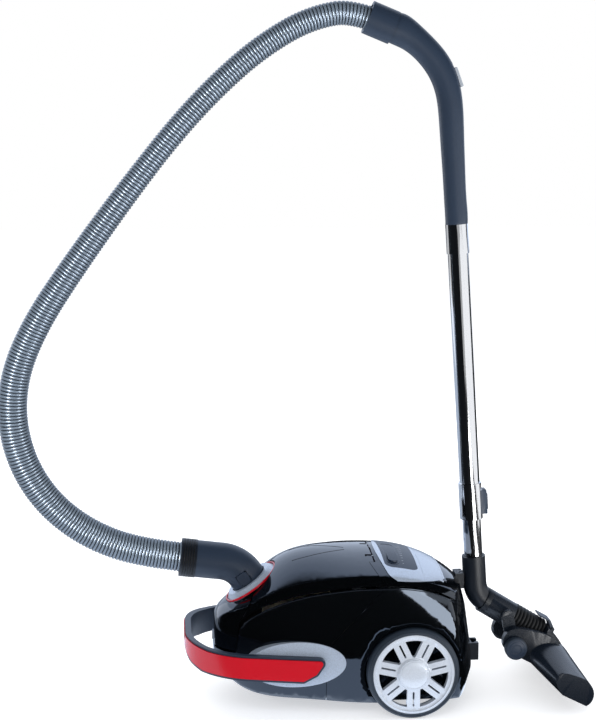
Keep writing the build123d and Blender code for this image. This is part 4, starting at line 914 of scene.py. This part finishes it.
@dataclass
class Hose:
    """The ribbed suction hose, from the elbow's cuff over to the grip's collar."""

    route_mm: Sequence[Pair] = (
        (-336, 249.1), (-420, 260), (-505, 292), (-573, 345), (-618, 415), (-637, 495), (-629, 577),
        (-592, 660), (-532, 750), (-434, 883), (-339, 1001), (-248, 1090), (-176, 1141), (-120, 1167),
        (-60, 1177.5), (-6.2, 1155.8),
    )
    route_steps: int = 32
    tube: RibbedTube = RibbedTube(25.5, 20.0, (0.28, 0.66), 2.6, 246, 10, 40, HOSE_VINYL)
    cuts: Pair = (0.30, 0.62)
    points: list[Vector] = field(default_factory=list)

    def read_route(self) -> None:
        """Reads the hose's line from its route's spline."""
        curve = bpy.data.curves.new("hose_route", "CURVE")
        curve.dimensions = "3D"
        curve.resolution_u = self.route_steps
        spline = curve.splines.new("NURBS")
        spline.points.add(len(self.route_mm) - 1)
        for point, (x, z) in zip(spline.points, self.route_mm):
            point.co = (x * MM, 0.0, z * MM, 1.0)
        spline.order_u = 3
        spline.use_endpoint_u = True
        self.points = points_of(curve)

    def build(self) -> list[bpy.types.Object]:
        """Makes the three stretches, cut at the two shares of the line.

        Returns:
            The stretches, from the elbow to the grip.
        """
        self.read_route()
        marks = (0.0, self.cuts[0], self.cuts[1], 1.0)
        ends = (
            ("hose_low", Body.ELBOW, Body.CANISTER, "hose_lower"),
            ("hose_mid", Body.CANISTER, Body.WAND_LOWER, "hose_middle"),
            ("hose_high", Body.WAND_LOWER, Body.WAND_UPPER, "hose_upper"),
        )
        pieces = []
        for (name, near, far, node), start, end in zip(ends, marks, marks[1:]):
            piece = self.tube.make(name, self.points, start, end)
            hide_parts(node)
            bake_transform(piece)
            pieces.append(piece)
        return pieces


@dataclass
class Bellows:
    """The soft ribbed sleeve between the nozzle's pipe and its head."""

    swivel_mm: Pair = (186.0, 156.5)
    drop_deg: float = 31.7
    span_mm: Pair = (50.3, 111.7)
    steps: int = 40
    tube: RibbedTube = RibbedTube(24.0, 24.0, (0.0, 1.0), 4.2, 9, 12, 48, RUBBER)

    def at(self, distance_mm: float) -> Vector:
        """A point on the pipe's axis, past the swivel."""
        drop = math.radians(self.drop_deg)
        x = self.swivel_mm[0] + distance_mm * math.cos(drop)
        return Vector((x, 0.0, self.swivel_mm[1] - distance_mm * math.sin(drop))) * MM

    def build(self) -> None:
        """Makes the sleeve in place of the hinge cover."""
        near, far = self.span_mm
        line = [self.at(near + (far - near) * step / self.steps) for step in range(self.steps + 1)]
        piece = self.tube.make("bellows_sleeve", line)
        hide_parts("hinge_cover")
        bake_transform(piece)
        LOG.info("%s bends from the pipe to the head", piece.name)


@dataclass
class DustBag:
    """The paper bag in the dust room: a crumpled sack with a folded end seam."""

    centre_mm: Point = (-140.0, 0.0, 124.0)
    half_mm: Point = (76.0, 71.0, 60.0)
    squareness: float = 3.2
    crumple_mm: float = 3.2
    crumple_per_mm: Pair = (0.035, 0.09)
    pleats: int = 9
    pleat_depth: float = 0.025
    seam_from: float = 0.6
    seam_flat: float = 0.35
    rows: int = 48
    columns: int = 72
    plate_mm: Pair = (-214.8, 178.6)
    plate_tilt_deg: float = 35.5
    plate_gap_mm: float = 2.0
    fill: float = 0.5

    def shell_point(self, along: float, round_share: float) -> Vector:
        """A point of the sack.

        Args:
            along: from the plate's end, -1, to the folded end, 1.
            round_share: share of a turn round the sack.

        Returns:
            The point in metres, clear of the plate.
        """
        angle = FULL_TURN * round_share
        power = 2 / self.squareness
        girth = max(0.0, 1 - abs(along) ** 4) ** 0.5
        side = math.copysign(abs(math.cos(angle)) ** power, math.cos(angle))
        rise = math.copysign(abs(math.sin(angle)) ** power, math.sin(angle))
        fold = 0.5 + 0.5 * math.cos(self.pleats * angle)
        pleat = 1 - self.pleat_depth * fold * (0.4 + 0.6 * along * along)
        flat = 1 - self.seam_flat * max(0.0, along - self.seam_from) / (1 - self.seam_from)
        length, width, height = self.half_mm
        place = Vector((along * length, side * girth * pleat * width, rise * girth * pleat * flat * height))
        coarse, fine = self.crumple_per_mm
        ruck = noise.noise(place * coarse) + 0.5 * noise.noise(place * fine)
        place *= 1 - (self.crumple_mm / height) * abs(ruck)
        place += Vector(self.centre_mm)
        tilt = math.radians(self.plate_tilt_deg)
        out = Vector((-math.sin(tilt), 0.0, math.cos(tilt)))
        over = (place - Vector((self.plate_mm[0], 0.0, self.plate_mm[1]))).dot(out) + self.plate_gap_mm
        if over > 0.0:
            place -= out * over
        return place * MM

    def build(self) -> None:
        """Makes the sack and puts it in the node's place."""
        mesh = bpy.data.meshes.new("paper_sack")
        with editing(mesh) as form:
            rings = []
            for row in range(1, self.rows):
                along = -math.cos(math.pi * row / self.rows)
                ring = [self.shell_point(along, at / self.columns) for at in range(self.columns)]
                rings.append([form.verts.new(place) for place in ring])
            join_rings(form, rings)
            for ring, along in ((rings[0], -1.0), (rings[-1], 1.0)):
                tip = form.verts.new(self.shell_point(along, 0.0))
                for at in range(self.columns):
                    form.faces.new((ring[at], ring[(at + 1) % self.columns], tip))
            bmesh.ops.recalc_face_normals(form, faces=form.faces)
        shade_smooth(mesh)
        piece = new_object("paper_sack", mesh, PAPER)
        place_piece(piece, Body.CANISTER, "white_paper", "dust_bag")


@dataclass
class Turning:
    """A turned form about an axis across the machine, such as a cap or a ring.

    Its profile is given as radius and height outwards.
    """

    name: str
    centre_mm: Point
    profile_mm: Sequence[Pair]
    side: int
    sides: int = 96
    weld_mm: float = 0.001
    crease_deg: float = 40.0

    def mesh(self) -> bpy.types.Mesh:
        """Spins the profile into a closed form, in its place."""
        mesh = bpy.data.meshes.new(self.name)
        with editing(mesh) as form:
            rings = []
            for radius, out in self.profile_mm:
                ring = []
                for at in range(self.sides):
                    angle = FULL_TURN * at / self.sides
                    x = self.centre_mm[0] + radius * math.cos(angle)
                    z = self.centre_mm[2] + radius * math.sin(angle)
                    ring.append(form.verts.new(Vector((x, self.centre_mm[1] + self.side * out, z)) * MM))
                rings.append(ring)
            join_rings(form, rings + rings[:1])
            bmesh.ops.remove_doubles(form, verts=form.verts, dist=self.weld_mm * MM)
            bmesh.ops.recalc_face_normals(form, faces=form.faces)
        shade_smooth(mesh, self.crease_deg)
        return mesh


@dataclass
class RoadWheels:
    """Hub caps and sidewall rings of the two large rear wheels."""

    axle_mm: Pair = (33.0, 78.5)
    face_mm: float = 143.0
    cap_mm: Sequence[Pair] = (
        (0.0001, -1.0), (25.4, -1.0), (25.4, 0.5), (24.9, 1.0), (24.2, 1.1), (23.6, 0.7), (23.0, 1.2),
        (20.0, 1.9), (14.0, 2.6), (7.0, 2.95), (0.0001, 3.05),
    )
    ring_mm: Sequence[Pair] = ((73.9, -2.5), (73.9, 0.15), (73.2, 0.45), (72.5, 0.15), (72.5, -2.5))
    ring_sides: int = 128

    def build(self) -> None:
        """Makes a cap and a ring for each wheel."""
        for (side, word), body in zip(SIDES, (Body.WHEEL_LEFT, Body.WHEEL_RIGHT)):
            centre = (self.axle_mm[0], side * self.face_mm, self.axle_mm[1])
            cap = Turning(f"hub_cap_{word}", centre, self.cap_mm, side)
            place_piece(new_object(cap.name, cap.mesh(), RIM_SILVER), body, "rim_silver")
            ring = Turning(f"tyre_ring_{word}", centre, self.ring_mm, side, self.ring_sides)
            place_piece(new_object(ring.name, ring.mesh(), TYRE), body, "tyre_rubber")


@dataclass
class NozzleDetails:
    """Wheel caps and the bristles of the floor nozzle, in the nozzle's own tilted frame."""

    axle_mm: Pair = (227.0, 87.0)
    tilt_deg: float = 27.0
    wheel_face_mm: float = 60.0
    cap_mm: Sequence[Pair] = (
        (0.0001, -0.5), (17.6, -0.5), (17.6, 0.3), (16.8, 0.9), (15.4, 0.9), (14.8, 0.3), (13.6, 0.3),
        (13.0, 0.8), (9.2, 1.0), (8.6, 0.4), (7.4, 0.4), (6.8, 1.0), (3.0, 1.3), (0.0001, 1.35),
    )
    cap_sides: int = 64
    brush_x_mm: Pair = (84.0, 90.0)
    brush_half_mm: float = 116.0
    brush_bar_z_mm: Pair = (-12.3, -9.0)
    bar_bevel_mm: float = 0.6
    tuft_tip_mm: float = -18.4
    tuft_root_mm: float = 1.0
    tuft_radius_mm: float = 0.55
    tuft_margin_mm: Pair = (1.6, 3.0)
    tuft_lean: float = 0.09
    tuft_rows: tuple[int, int] = (4, 118)

    def tilted(self) -> Matrix:
        """The nozzle's frame."""
        place = Matrix.Translation(Vector((self.axle_mm[0], 0.0, self.axle_mm[1])) * MM)
        return place @ Matrix.Rotation(math.radians(self.tilt_deg), 4, "Y")

    def caps(self) -> None:
        """Makes the ringed caps on the two small wheels."""
        for side, word in SIDES:
            centre = (self.axle_mm[0], side * self.wheel_face_mm, self.axle_mm[1])
            cap = Turning(f"nozzle_cap_{word}", centre, self.cap_mm, side, self.cap_sides)
            place_piece(new_object(cap.name, cap.mesh(), DARK_SATIN), Body.NOZZLE_WHEELS, "tyre_rubber")

    def brush(self) -> None:
        """Makes the bar and its tufts, as one piece in place of the plain strip."""
        bottom, top = self.brush_bar_z_mm
        back, front = self.brush_x_mm
        middle, height = (back + front) / 2, (bottom + top) / 2
        values = {
            "Width": (front - back - self.tuft_margin_mm[0]) * MM,
            "Length": (2 * self.brush_half_mm - self.tuft_margin_mm[1]) * MM,
            "Tuft Radius": self.tuft_radius_mm * MM,
            "Tuft Height": (bottom + self.tuft_root_mm - self.tuft_tip_mm) * MM,
            "Lean": self.tuft_lean,
            "Across": self.tuft_rows[0],
            "Along": self.tuft_rows[1],
            "Finish": BRISTLE.material(),
        }
        seedbed = line_mesh("brush_tufts", [Vector((0, 0, 0)), Vector((0, 0, MM))])
        tufts = run_tree("brush_tufts", seedbed, Trees.bristles(), values)
        tufts.transform(Matrix.Translation(Vector((middle, 0.0, self.tuft_tip_mm)) * MM))
        size = Vector((front - back, 2 * self.brush_half_mm, top - bottom)) * MM
        place = Matrix.Translation(Vector((middle, 0.0, height)) * MM) @ Matrix.Diagonal((*size, 1.0))
        with editing(tufts) as form:
            bar = bmesh.ops.create_cube(form, size=1.0, matrix=place)
            edges = list({edge for vertex in bar["verts"] for edge in vertex.link_edges})
            bevel = self.bar_bevel_mm * MM
            bmesh.ops.bevel(form, geom=edges, offset=bevel, segments=2, affect="EDGES", profile=0.5)
            bmesh.ops.recalc_face_normals(form, faces=form.faces)
        tufts.transform(self.tilted())
        place_piece(new_object("brush_tufts", tufts, BRISTLE), Body.BRUSH, "bristle", "brush_strip")

    def build(self) -> None:
        """Makes the caps and the brush."""
        self.caps()
        self.brush()


@dataclass
class Bead:
    """A thin bead that lies along a line on another piece."""

    name: str
    radius_mm: float
    finish: Finish
    body: Body
    slot: str
    closed: bool = False
    sides: int = 8

    def lay(self, line: Sequence[Vector]) -> None:
        """Makes the bead.

        Args:
            line: the points that it follows.
        """
        values = {"Radius": self.radius_mm * MM, "Sides": self.sides, "Finish": self.finish.material()}
        mesh = run_tree(self.name, line_mesh(self.name, line, self.closed), Trees.bead(), values)
        place_piece(new_object(self.name, mesh, self.finish), self.body, self.slot)


@dataclass
class CasingDetails:
    """Thin lines: the ledge under the lid, painted shade lines in its creases and in the cuff's grooves, the
    slider's track and marks.
    """

    belt_mm: Sequence[Pair] = (
        (-254, 153), (-239, 170), (-206, 190.5), (-162, 208), (-100, 220), (-20, 225), (42, 220),
        (88, 204), (132, 168),
    )
    ledge_radius_mm: float = 0.8
    crease_px: Sequence[Pair] = (
        (291.8, 560.8), (304.0, 557.2), (317.0, 554.0), (330.5, 551.4), (344.0, 549.4),
    )
    crease_shade_radius_mm: float = 0.45
    track_centre_mm: Pair = (8.0, -18.5)
    track_half_mm: Pair = (11.5, 52.0)
    track_radius_mm: float = 0.55
    track_steps: int = 64
    marks: int = 9
    mark_start_mm: float = 24.0
    mark_inset_mm: float = 6.0
    mark_reach_mm: Pair = (2.0, 9.0)
    mark_size_mm: Pair = (1.1, 0.25)
    cuff_mm: Pair = (-328.0, 248.0)
    cuff_corner_mm: Pair = (-257.957, 239.091)
    cuff_slots_mm: Sequence[float] = (5.1, 9.3, 13.5, 17.7, 21.9)
    cuff_slot_radius_mm: float = 32.2
    slot_shade_bead_mm: float = 1.1
    slot_steps: int = 72

    def ledge(self) -> None:
        """Makes the ledge on both sides, just under the lid's edge."""
        casing = Surface(("base_tub", "rear_shell"))
        line = smooth_line([(x, 0.0, z) for x, z in self.belt_mm])
        for side, word in SIDES:
            bead = Bead(f"belt_ledge_{word}", self.ledge_radius_mm, GLOSS_BLACK, Body.CANISTER, "gloss_black")
            bead.lay([place for place, _ in casing.from_side(line, side)])

    def crease(self, studio: "Studio") -> None:
        """Makes a dark matt bead along each shoulder of the lid: a painted shade line in its crease.

        Args:
            studio: gives the lines of sight that the near crease was seen along.
        """
        lid = Surface(("lid",))
        hits = [lid.hit(*studio.ray(*pixel)) for pixel in self.crease_px]
        seen = [found[0] / MM for found in hits if found is not None]
        for side, word in SIDES:
            line = smooth_line([(at.x, side * abs(at.y), at.z) for at in seen])
            # Painted shade: a matt black bead stands for the dark line of the crease.
            bead = Bead(f"lid_crease_{word}", self.crease_shade_radius_mm, RUBBER, Body.LID, "soft_rubber")
            bead.lay([place for place, _ in lid.from_above(line)])

    def track(self, inset: Surface) -> None:
        """Makes the oval round the power slider's way.

        Args:
            inset: the surface that it lies on.
        """
        (x, y), (wide, long) = self.track_centre_mm, self.track_half_mm
        oval = []
        for at in range(self.track_steps):
            angle = FULL_TURN * at / self.track_steps
            shift = math.copysign(long - wide, math.sin(angle)) if abs(math.sin(angle)) > 1e-9 else 0.0
            oval.append(Vector((x + wide * math.cos(angle), y + shift + wide * math.sin(angle), 0.0)) * MM)
        bead = Bead("slider_track", self.track_radius_mm, GLOSS_BLACK, Body.CANISTER, "gloss_black", True)
        bead.lay([place for place, _ in inset.from_above(oval)])

    def print_marks(self, inset: Surface) -> None:
        """Prints the bars beside the slider, longer towards full power.

        Args:
            inset: the surface that they lie on.
        """
        middle, half = self.track_centre_mm[1], self.track_half_mm[1] - self.mark_inset_mm
        least, most = self.mark_reach_mm
        bars: list[tuple[Vector, Vector, float]] = []
        for at in range(self.marks):
            share = at / (self.marks - 1)
            reach = least + (most - least) * share
            spot = Vector((self.mark_start_mm + reach / 2, middle + (2 * share - 1) * half, 0.0)) * MM
            bars += [(place, normal, reach * MM) for place, normal in inset.from_above([spot])]
        mesh = bpy.data.meshes.new("power_marks_places")
        mesh.from_pydata([tuple(place) for place, _, _ in bars], [], [])
        mesh.attributes.new("facing", "FLOAT_VECTOR", "POINT")
        mesh.attributes.new("reach", "FLOAT", "POINT")
        for at, (_, normal, reach) in enumerate(bars):
            mesh.attributes["facing"].data[at].vector = normal
            mesh.attributes["reach"].data[at].value = reach
        width, thickness = self.mark_size_mm
        values = {"Width": width * MM, "Thickness": thickness * MM, "Finish": INK.material()}
        made = run_tree("power_marks", mesh, Trees.marks(), values)
        place_piece(new_object("power_marks", made, INK), Body.CANISTER, "grey_plastic")

    def slots(self) -> None:
        """Makes dark matt rings that paint shade into the grooves of the hose's cuff."""
        start = Vector((self.cuff_mm[0], 0.0, self.cuff_mm[1]))
        out = (start - Vector((self.cuff_corner_mm[0], 0.0, self.cuff_corner_mm[1]))).normalized()
        across = Vector((0.0, 1.0, 0.0))
        rise = out.cross(across)
        for index, place in enumerate(self.cuff_slots_mm):
            ring = []
            for at in range(self.slot_steps):
                angle = FULL_TURN * at / self.slot_steps
                spoke = rise * math.cos(angle) + across * math.sin(angle)
                ring.append((start + out * place + spoke * self.cuff_slot_radius_mm) * MM)
            # Painted shade: a black rubber ring lies in each groove to darken it.
            Bead(f"cuff_slot_{index}", self.slot_shade_bead_mm, RUBBER, Body.ELBOW, "soft_rubber", True).lay(ring)

    def build(self, studio: "Studio") -> None:
        """Makes all the casing's lines.

        Args:
            studio: gives the camera's lines of sight.
        """
        self.ledge()
        self.crease(studio)
        inset = Surface(("control_inset",))
        self.track(inset)
        self.print_marks(inset)
        self.slots()


@dataclass(frozen=True)
class Lamp:
    """A soft box: where it hangs, the point it faces and its size in metres, and its power in watts."""

    name: str
    at: Point
    aim: Point
    size: Pair
    power: float
    mirrored: bool = True

    def hang(self) -> bpy.types.Object:
        """Hangs the soft box, out of the picture, and out of polished surfaces unless it is mirrored."""
        lamp = bpy.data.lights.new(self.name, "AREA")
        lamp.shape = "RECTANGLE"
        lamp.size, lamp.size_y = self.size
        lamp.energy = self.power
        holder = bpy.data.objects.new(self.name, lamp)
        bpy.context.scene.collection.objects.link(holder)
        turn = (Vector(self.aim) - Vector(self.at)).to_track_quat("-Z", "Y").to_matrix().to_4x4()
        holder.matrix_world = Matrix.Translation(self.at) @ turn
        holder.visible_camera = False
        holder.visible_glossy = self.mirrored
        return holder


@dataclass
class Studio:
    """A pale floor, soft light and the camera at the photograph's angle."""

    camera_mm: Point = (-370.0, -2512.0, 988.6)
    yaw_deg: float = 5.0
    pitch_deg: float = 8.9
    focal_px: float = 1494.0
    frame_px: tuple[int, int] = (596, 720)
    sensor_mm: float = 36.0
    view_m: float = 50.0
    fill: float = 0.62
    mirror_fill: float = 0.01
    back_glow: float = 1.45
    back_ramp: Pair = (0.25, 0.62)
    floor_reach: float = 12.0
    floor_glow: float = 0.5
    card_heights: Pair = (0.0015, 0.003)
    sheets: Sequence[tuple[Area, float]] = (
        ((-0.95, 0.16, -0.28, 0.28), 1.75),
        ((-3.0, 0.05, 0.4, 4.0), 0.8),
    )
    lamps: Sequence[Lamp] = (
        Lamp("back_panel", (-0.1, 2.4, 1.6), (-0.1, 0.0, 0.45), (4.2, 1.9), 40.0, mirrored=False),
        Lamp("left_panel", (-2.0, 2.3, 0.8), (0.0, 2.3, 0.8), (2.9, 1.6), 9.0),
        Lamp("right_panel", (1.5, -0.6, 0.51), (0.0, -0.6, 0.51), (1.75, 1.0), 6.6),
        Lamp("right_front", (1.02, -1.74, 0.38), (0.18, 0.0, 0.38), (1.1, 0.75), 3.1),
        Lamp("low_front", (0.2, -2.9, 0.38), (0.18, 0.0, 0.38), (0.9, 0.75), 1.0),
        Lamp("low_strip", (0.66, -1.28, 0.012), (0.66, -1.28, 1.0), (0.56, 1.75), 21.0),
        Lamp("front_fill", (-1.2, -2.4, 2.2), (-0.1, 0.0, 0.4), (1.6, 1.6), 20.0, mirrored=False),
    )
    hose_lamps: Sequence[Lamp] = (
        Lamp("hose_left", (-1.75, -2.0, 0.55), (-0.45, 0.0, 0.6), (0.45, 1.7), 210.0),
        Lamp("hose_right", (1.07, -1.07, 0.55), (-0.45, 0.0, 0.6), (0.45, 1.7), 60.0),
    )

    def ahead(self) -> Vector:
        """The camera's viewing direction."""
        yaw, pitch = math.radians(self.yaw_deg), math.radians(self.pitch_deg)
        return Vector((math.sin(yaw) * math.cos(pitch), math.cos(yaw) * math.cos(pitch), -math.sin(pitch)))

    def ray(self, column: float, row: float) -> tuple[Vector, Vector]:
        """The line of sight through a pixel.

        Args:
            column: pixels from the left edge.
            row: pixels from the top edge.

        Returns:
            Its start and direction, in metres.
        """
        ahead = self.ahead()
        right = ahead.cross(Vector((0, 0, 1))).normalized()
        up = right.cross(ahead)
        across, rise = column - self.frame_px[0] / 2, self.frame_px[1] / 2 - row
        return Vector(self.camera_mm) * MM, ahead * self.focal_px + right * across + up * rise

    def flag(self, pieces: Sequence[bpy.types.Object]) -> None:
        """Hangs the hose's two tall soft boxes, flagged off everything else.

        Args:
            pieces: the pieces that they light.
        """
        lit = bpy.data.collections.new("hose_lit")
        for piece in pieces:
            lit.objects.link(piece)
        for lamp in self.hose_lamps:
            lamp.hang().light_linking.receiver_collection = lit

    def sky(self) -> None:
        """Sets a white surround that fills shadows but leaves polished surfaces dark between the lights."""
        world = bpy.data.worlds.new("studio")
        world.use_nodes = True
        world.cycles.sampling_method = "NONE"
        tree = world.node_tree
        tree.nodes.clear()
        kind = add(tree, "ShaderNodeLightPath").outputs
        look = add(tree, "ShaderNodeTexCoord").outputs["Generated"]
        at = add(tree, "ShaderNodeSeparateXYZ", {"Vector": look}).outputs
        ramp = {
            "Value": at["Y"],
            "From Min": self.back_ramp[0],
            "From Max": self.back_ramp[1],
            "To Min": self.mirror_fill,
            "To Max": self.back_glow,
        }
        facing = add(tree, "ShaderNodeMapRange", ramp, interpolation_type="SMOOTHSTEP")
        dark = add(tree, "ShaderNodeBackground", {"Color": linear("d3e0f6"), "Strength": facing})
        soft = add(tree, "ShaderNodeBackground", {"Color": linear("f4f7fc"), "Strength": self.fill})
        white = add(tree, "ShaderNodeBackground", {"Color": linear("ffffff"), "Strength": 1.0})
        lit = add(tree, "ShaderNodeMixShader", {0: kind["Is Diffuse Ray"], 1: dark, 2: soft})
        seen = add(tree, "ShaderNodeMixShader", {0: kind["Is Camera Ray"], 1: lit, 2: white})
        add(tree, "ShaderNodeOutputWorld", {"Surface": seen})
        bpy.context.scene.world = world

    def flat(self, name: str, area: Area, height: float, finish: Finish) -> bpy.types.Object:
        """Lays a flat rectangle as part of the stage.

        Args:
            name: its name.
            area: its least and most x, and least and most y, in metres.
            height: its height.
            finish: its finish.

        Returns:
            The rectangle.
        """
        x0, x1, y0, y1 = area
        corners = [(x0, y0, height), (x1, y0, height), (x1, y1, height), (x0, y1, height)]
        mesh = bpy.data.meshes.new(name)
        mesh.from_pydata(corners, [], [(0, 1, 2, 3)])
        made = new_object(name, mesh, finish)
        return made

    def card(self, name: str, area: Area, height: float, glow: float) -> None:
        """Lays a card on the table that only polished surfaces mirror.

        Args:
            name: the card's name.
            area: its least and most x, and least and most y, in metres.
            height: its height over the table.
            glow: the strength of its own pale blue light.
        """
        felt = Finish(f"{name}_felt", "060607", 0.9, grain_mm=2.0, rough_spread=0.03, shade=0.1)
        felt.glow("cddbf0", glow)
        laid = self.flat(name, area, height, felt)
        laid.visible_camera = False
        laid.visible_diffuse = False
        laid.visible_shadow = False
        laid.visible_transmission = False

    def floor(self) -> None:
        """Lays a wide white table, and on it a dark card and two pale sheets that only polish mirrors."""
        reach = self.floor_reach
        whole = (-reach, reach, -reach, reach)
        paper = Finish("white_backdrop_paper", "f6f7f9", 0.85, grain_mm=3.0, rough_spread=0.03, shade=0.01)
        paper.glow("ffffff", self.floor_glow)
        paper.shader().inputs["Specular IOR Level"].default_value = 0.0
        self.flat("studio_floor", whole, 0.0, paper)
        low, high = self.card_heights
        self.card("dark_card", whole, low, 0.0)
        for at, (area, glow) in enumerate(self.sheets):
            self.card(f"pale_sheet_{at}", area, high, glow)

    def build(self) -> None:
        """Sets the floor, lights, sky and camera."""
        scene = bpy.context.scene
        scene.view_settings.view_transform = "Standard"
        self.floor()
        self.sky()
        for lamp in self.lamps:
            lamp.hang()
        camera = bpy.data.cameras.new("photo_camera")
        camera.sensor_fit = "VERTICAL"
        camera.sensor_height = self.sensor_mm
        camera.lens = self.focal_px * self.sensor_mm / self.frame_px[1]
        camera.clip_end = self.view_m
        holder = bpy.data.objects.new("photo_camera", camera)
        scene.collection.objects.link(holder)
        place = Matrix.Translation(Vector(self.camera_mm) * MM)
        holder.matrix_world = place @ self.ahead().to_track_quat("-Z", "Y").to_matrix().to_4x4()
        scene.camera = holder


MOULDINGS: tuple[tuple[Finish, tuple[str, ...]], ...] = (
    (GLOSS_BLACK, ("base_tub", "rear_shell", "nose_housing", "lid", "rear_deck", "lid_latch")),
    (HALF_GLOSS, ("nozzle_pipe", "nozzle_head")),
    (SATIN_BLACK, ("nozzle_neck", "hose_cuff", "park_bracket", "lower_bracket")),
    (DARK_SATIN, ("control_inset", "handle_frame", "exhaust_grille", "cord_outlet", "power_slider")),
    (DARK_SATIN, ("caster_fork", "caster_roller", "sole_plate", "brush_pedal", "tube_button")),
    (DARK_SATIN, ("hose_elbow", "elbow_button_left", "elbow_button_right", "grip", "grip_collar")),
    (SILVER, ("control_panel", "side_trims", "inlet_ring", "power_button", "rewind_button")),
    (RED, ("handle_band", "inlet_accent")),
    (RIM_SILVER, ("rim_left", "rim_right")),
    (TYRE, ("tyre_left", "tyre_right", "nozzle_wheels")),
    (RUBBER, ("lid_seal", "motor_mounts")),
    (CHROME, ("outer_tube", "inner_tube")),
    (ZINC, ("base_screws", "wheel_axles", "fan_rotor")),
    (PALE_GREY, ("suction_slider", "bulkhead", "motor_housing", "bag_plate", "reel_brake", "cord_drum")),
    (FOAM, ("motor_filter",)),
)


def main() -> None:
    """Builds the studio, the hose and every dressed piece."""
    logging.basicConfig(level=logging.INFO, format="%(message)s")
    studio = Studio()
    studio.build()
    studio.flag(Hose().build())
    for finish, nodes in MOULDINGS:
        for name in nodes:
            Moulding(name, finish).build()
    TubeCollar("tube_collar", CHROME).build()
    Bellows().build()
    DustBag().build()
    RoadWheels().build()
    NozzleDetails().build()
    CasingDetails().build(studio)


if __name__ == "__main__":
    main()
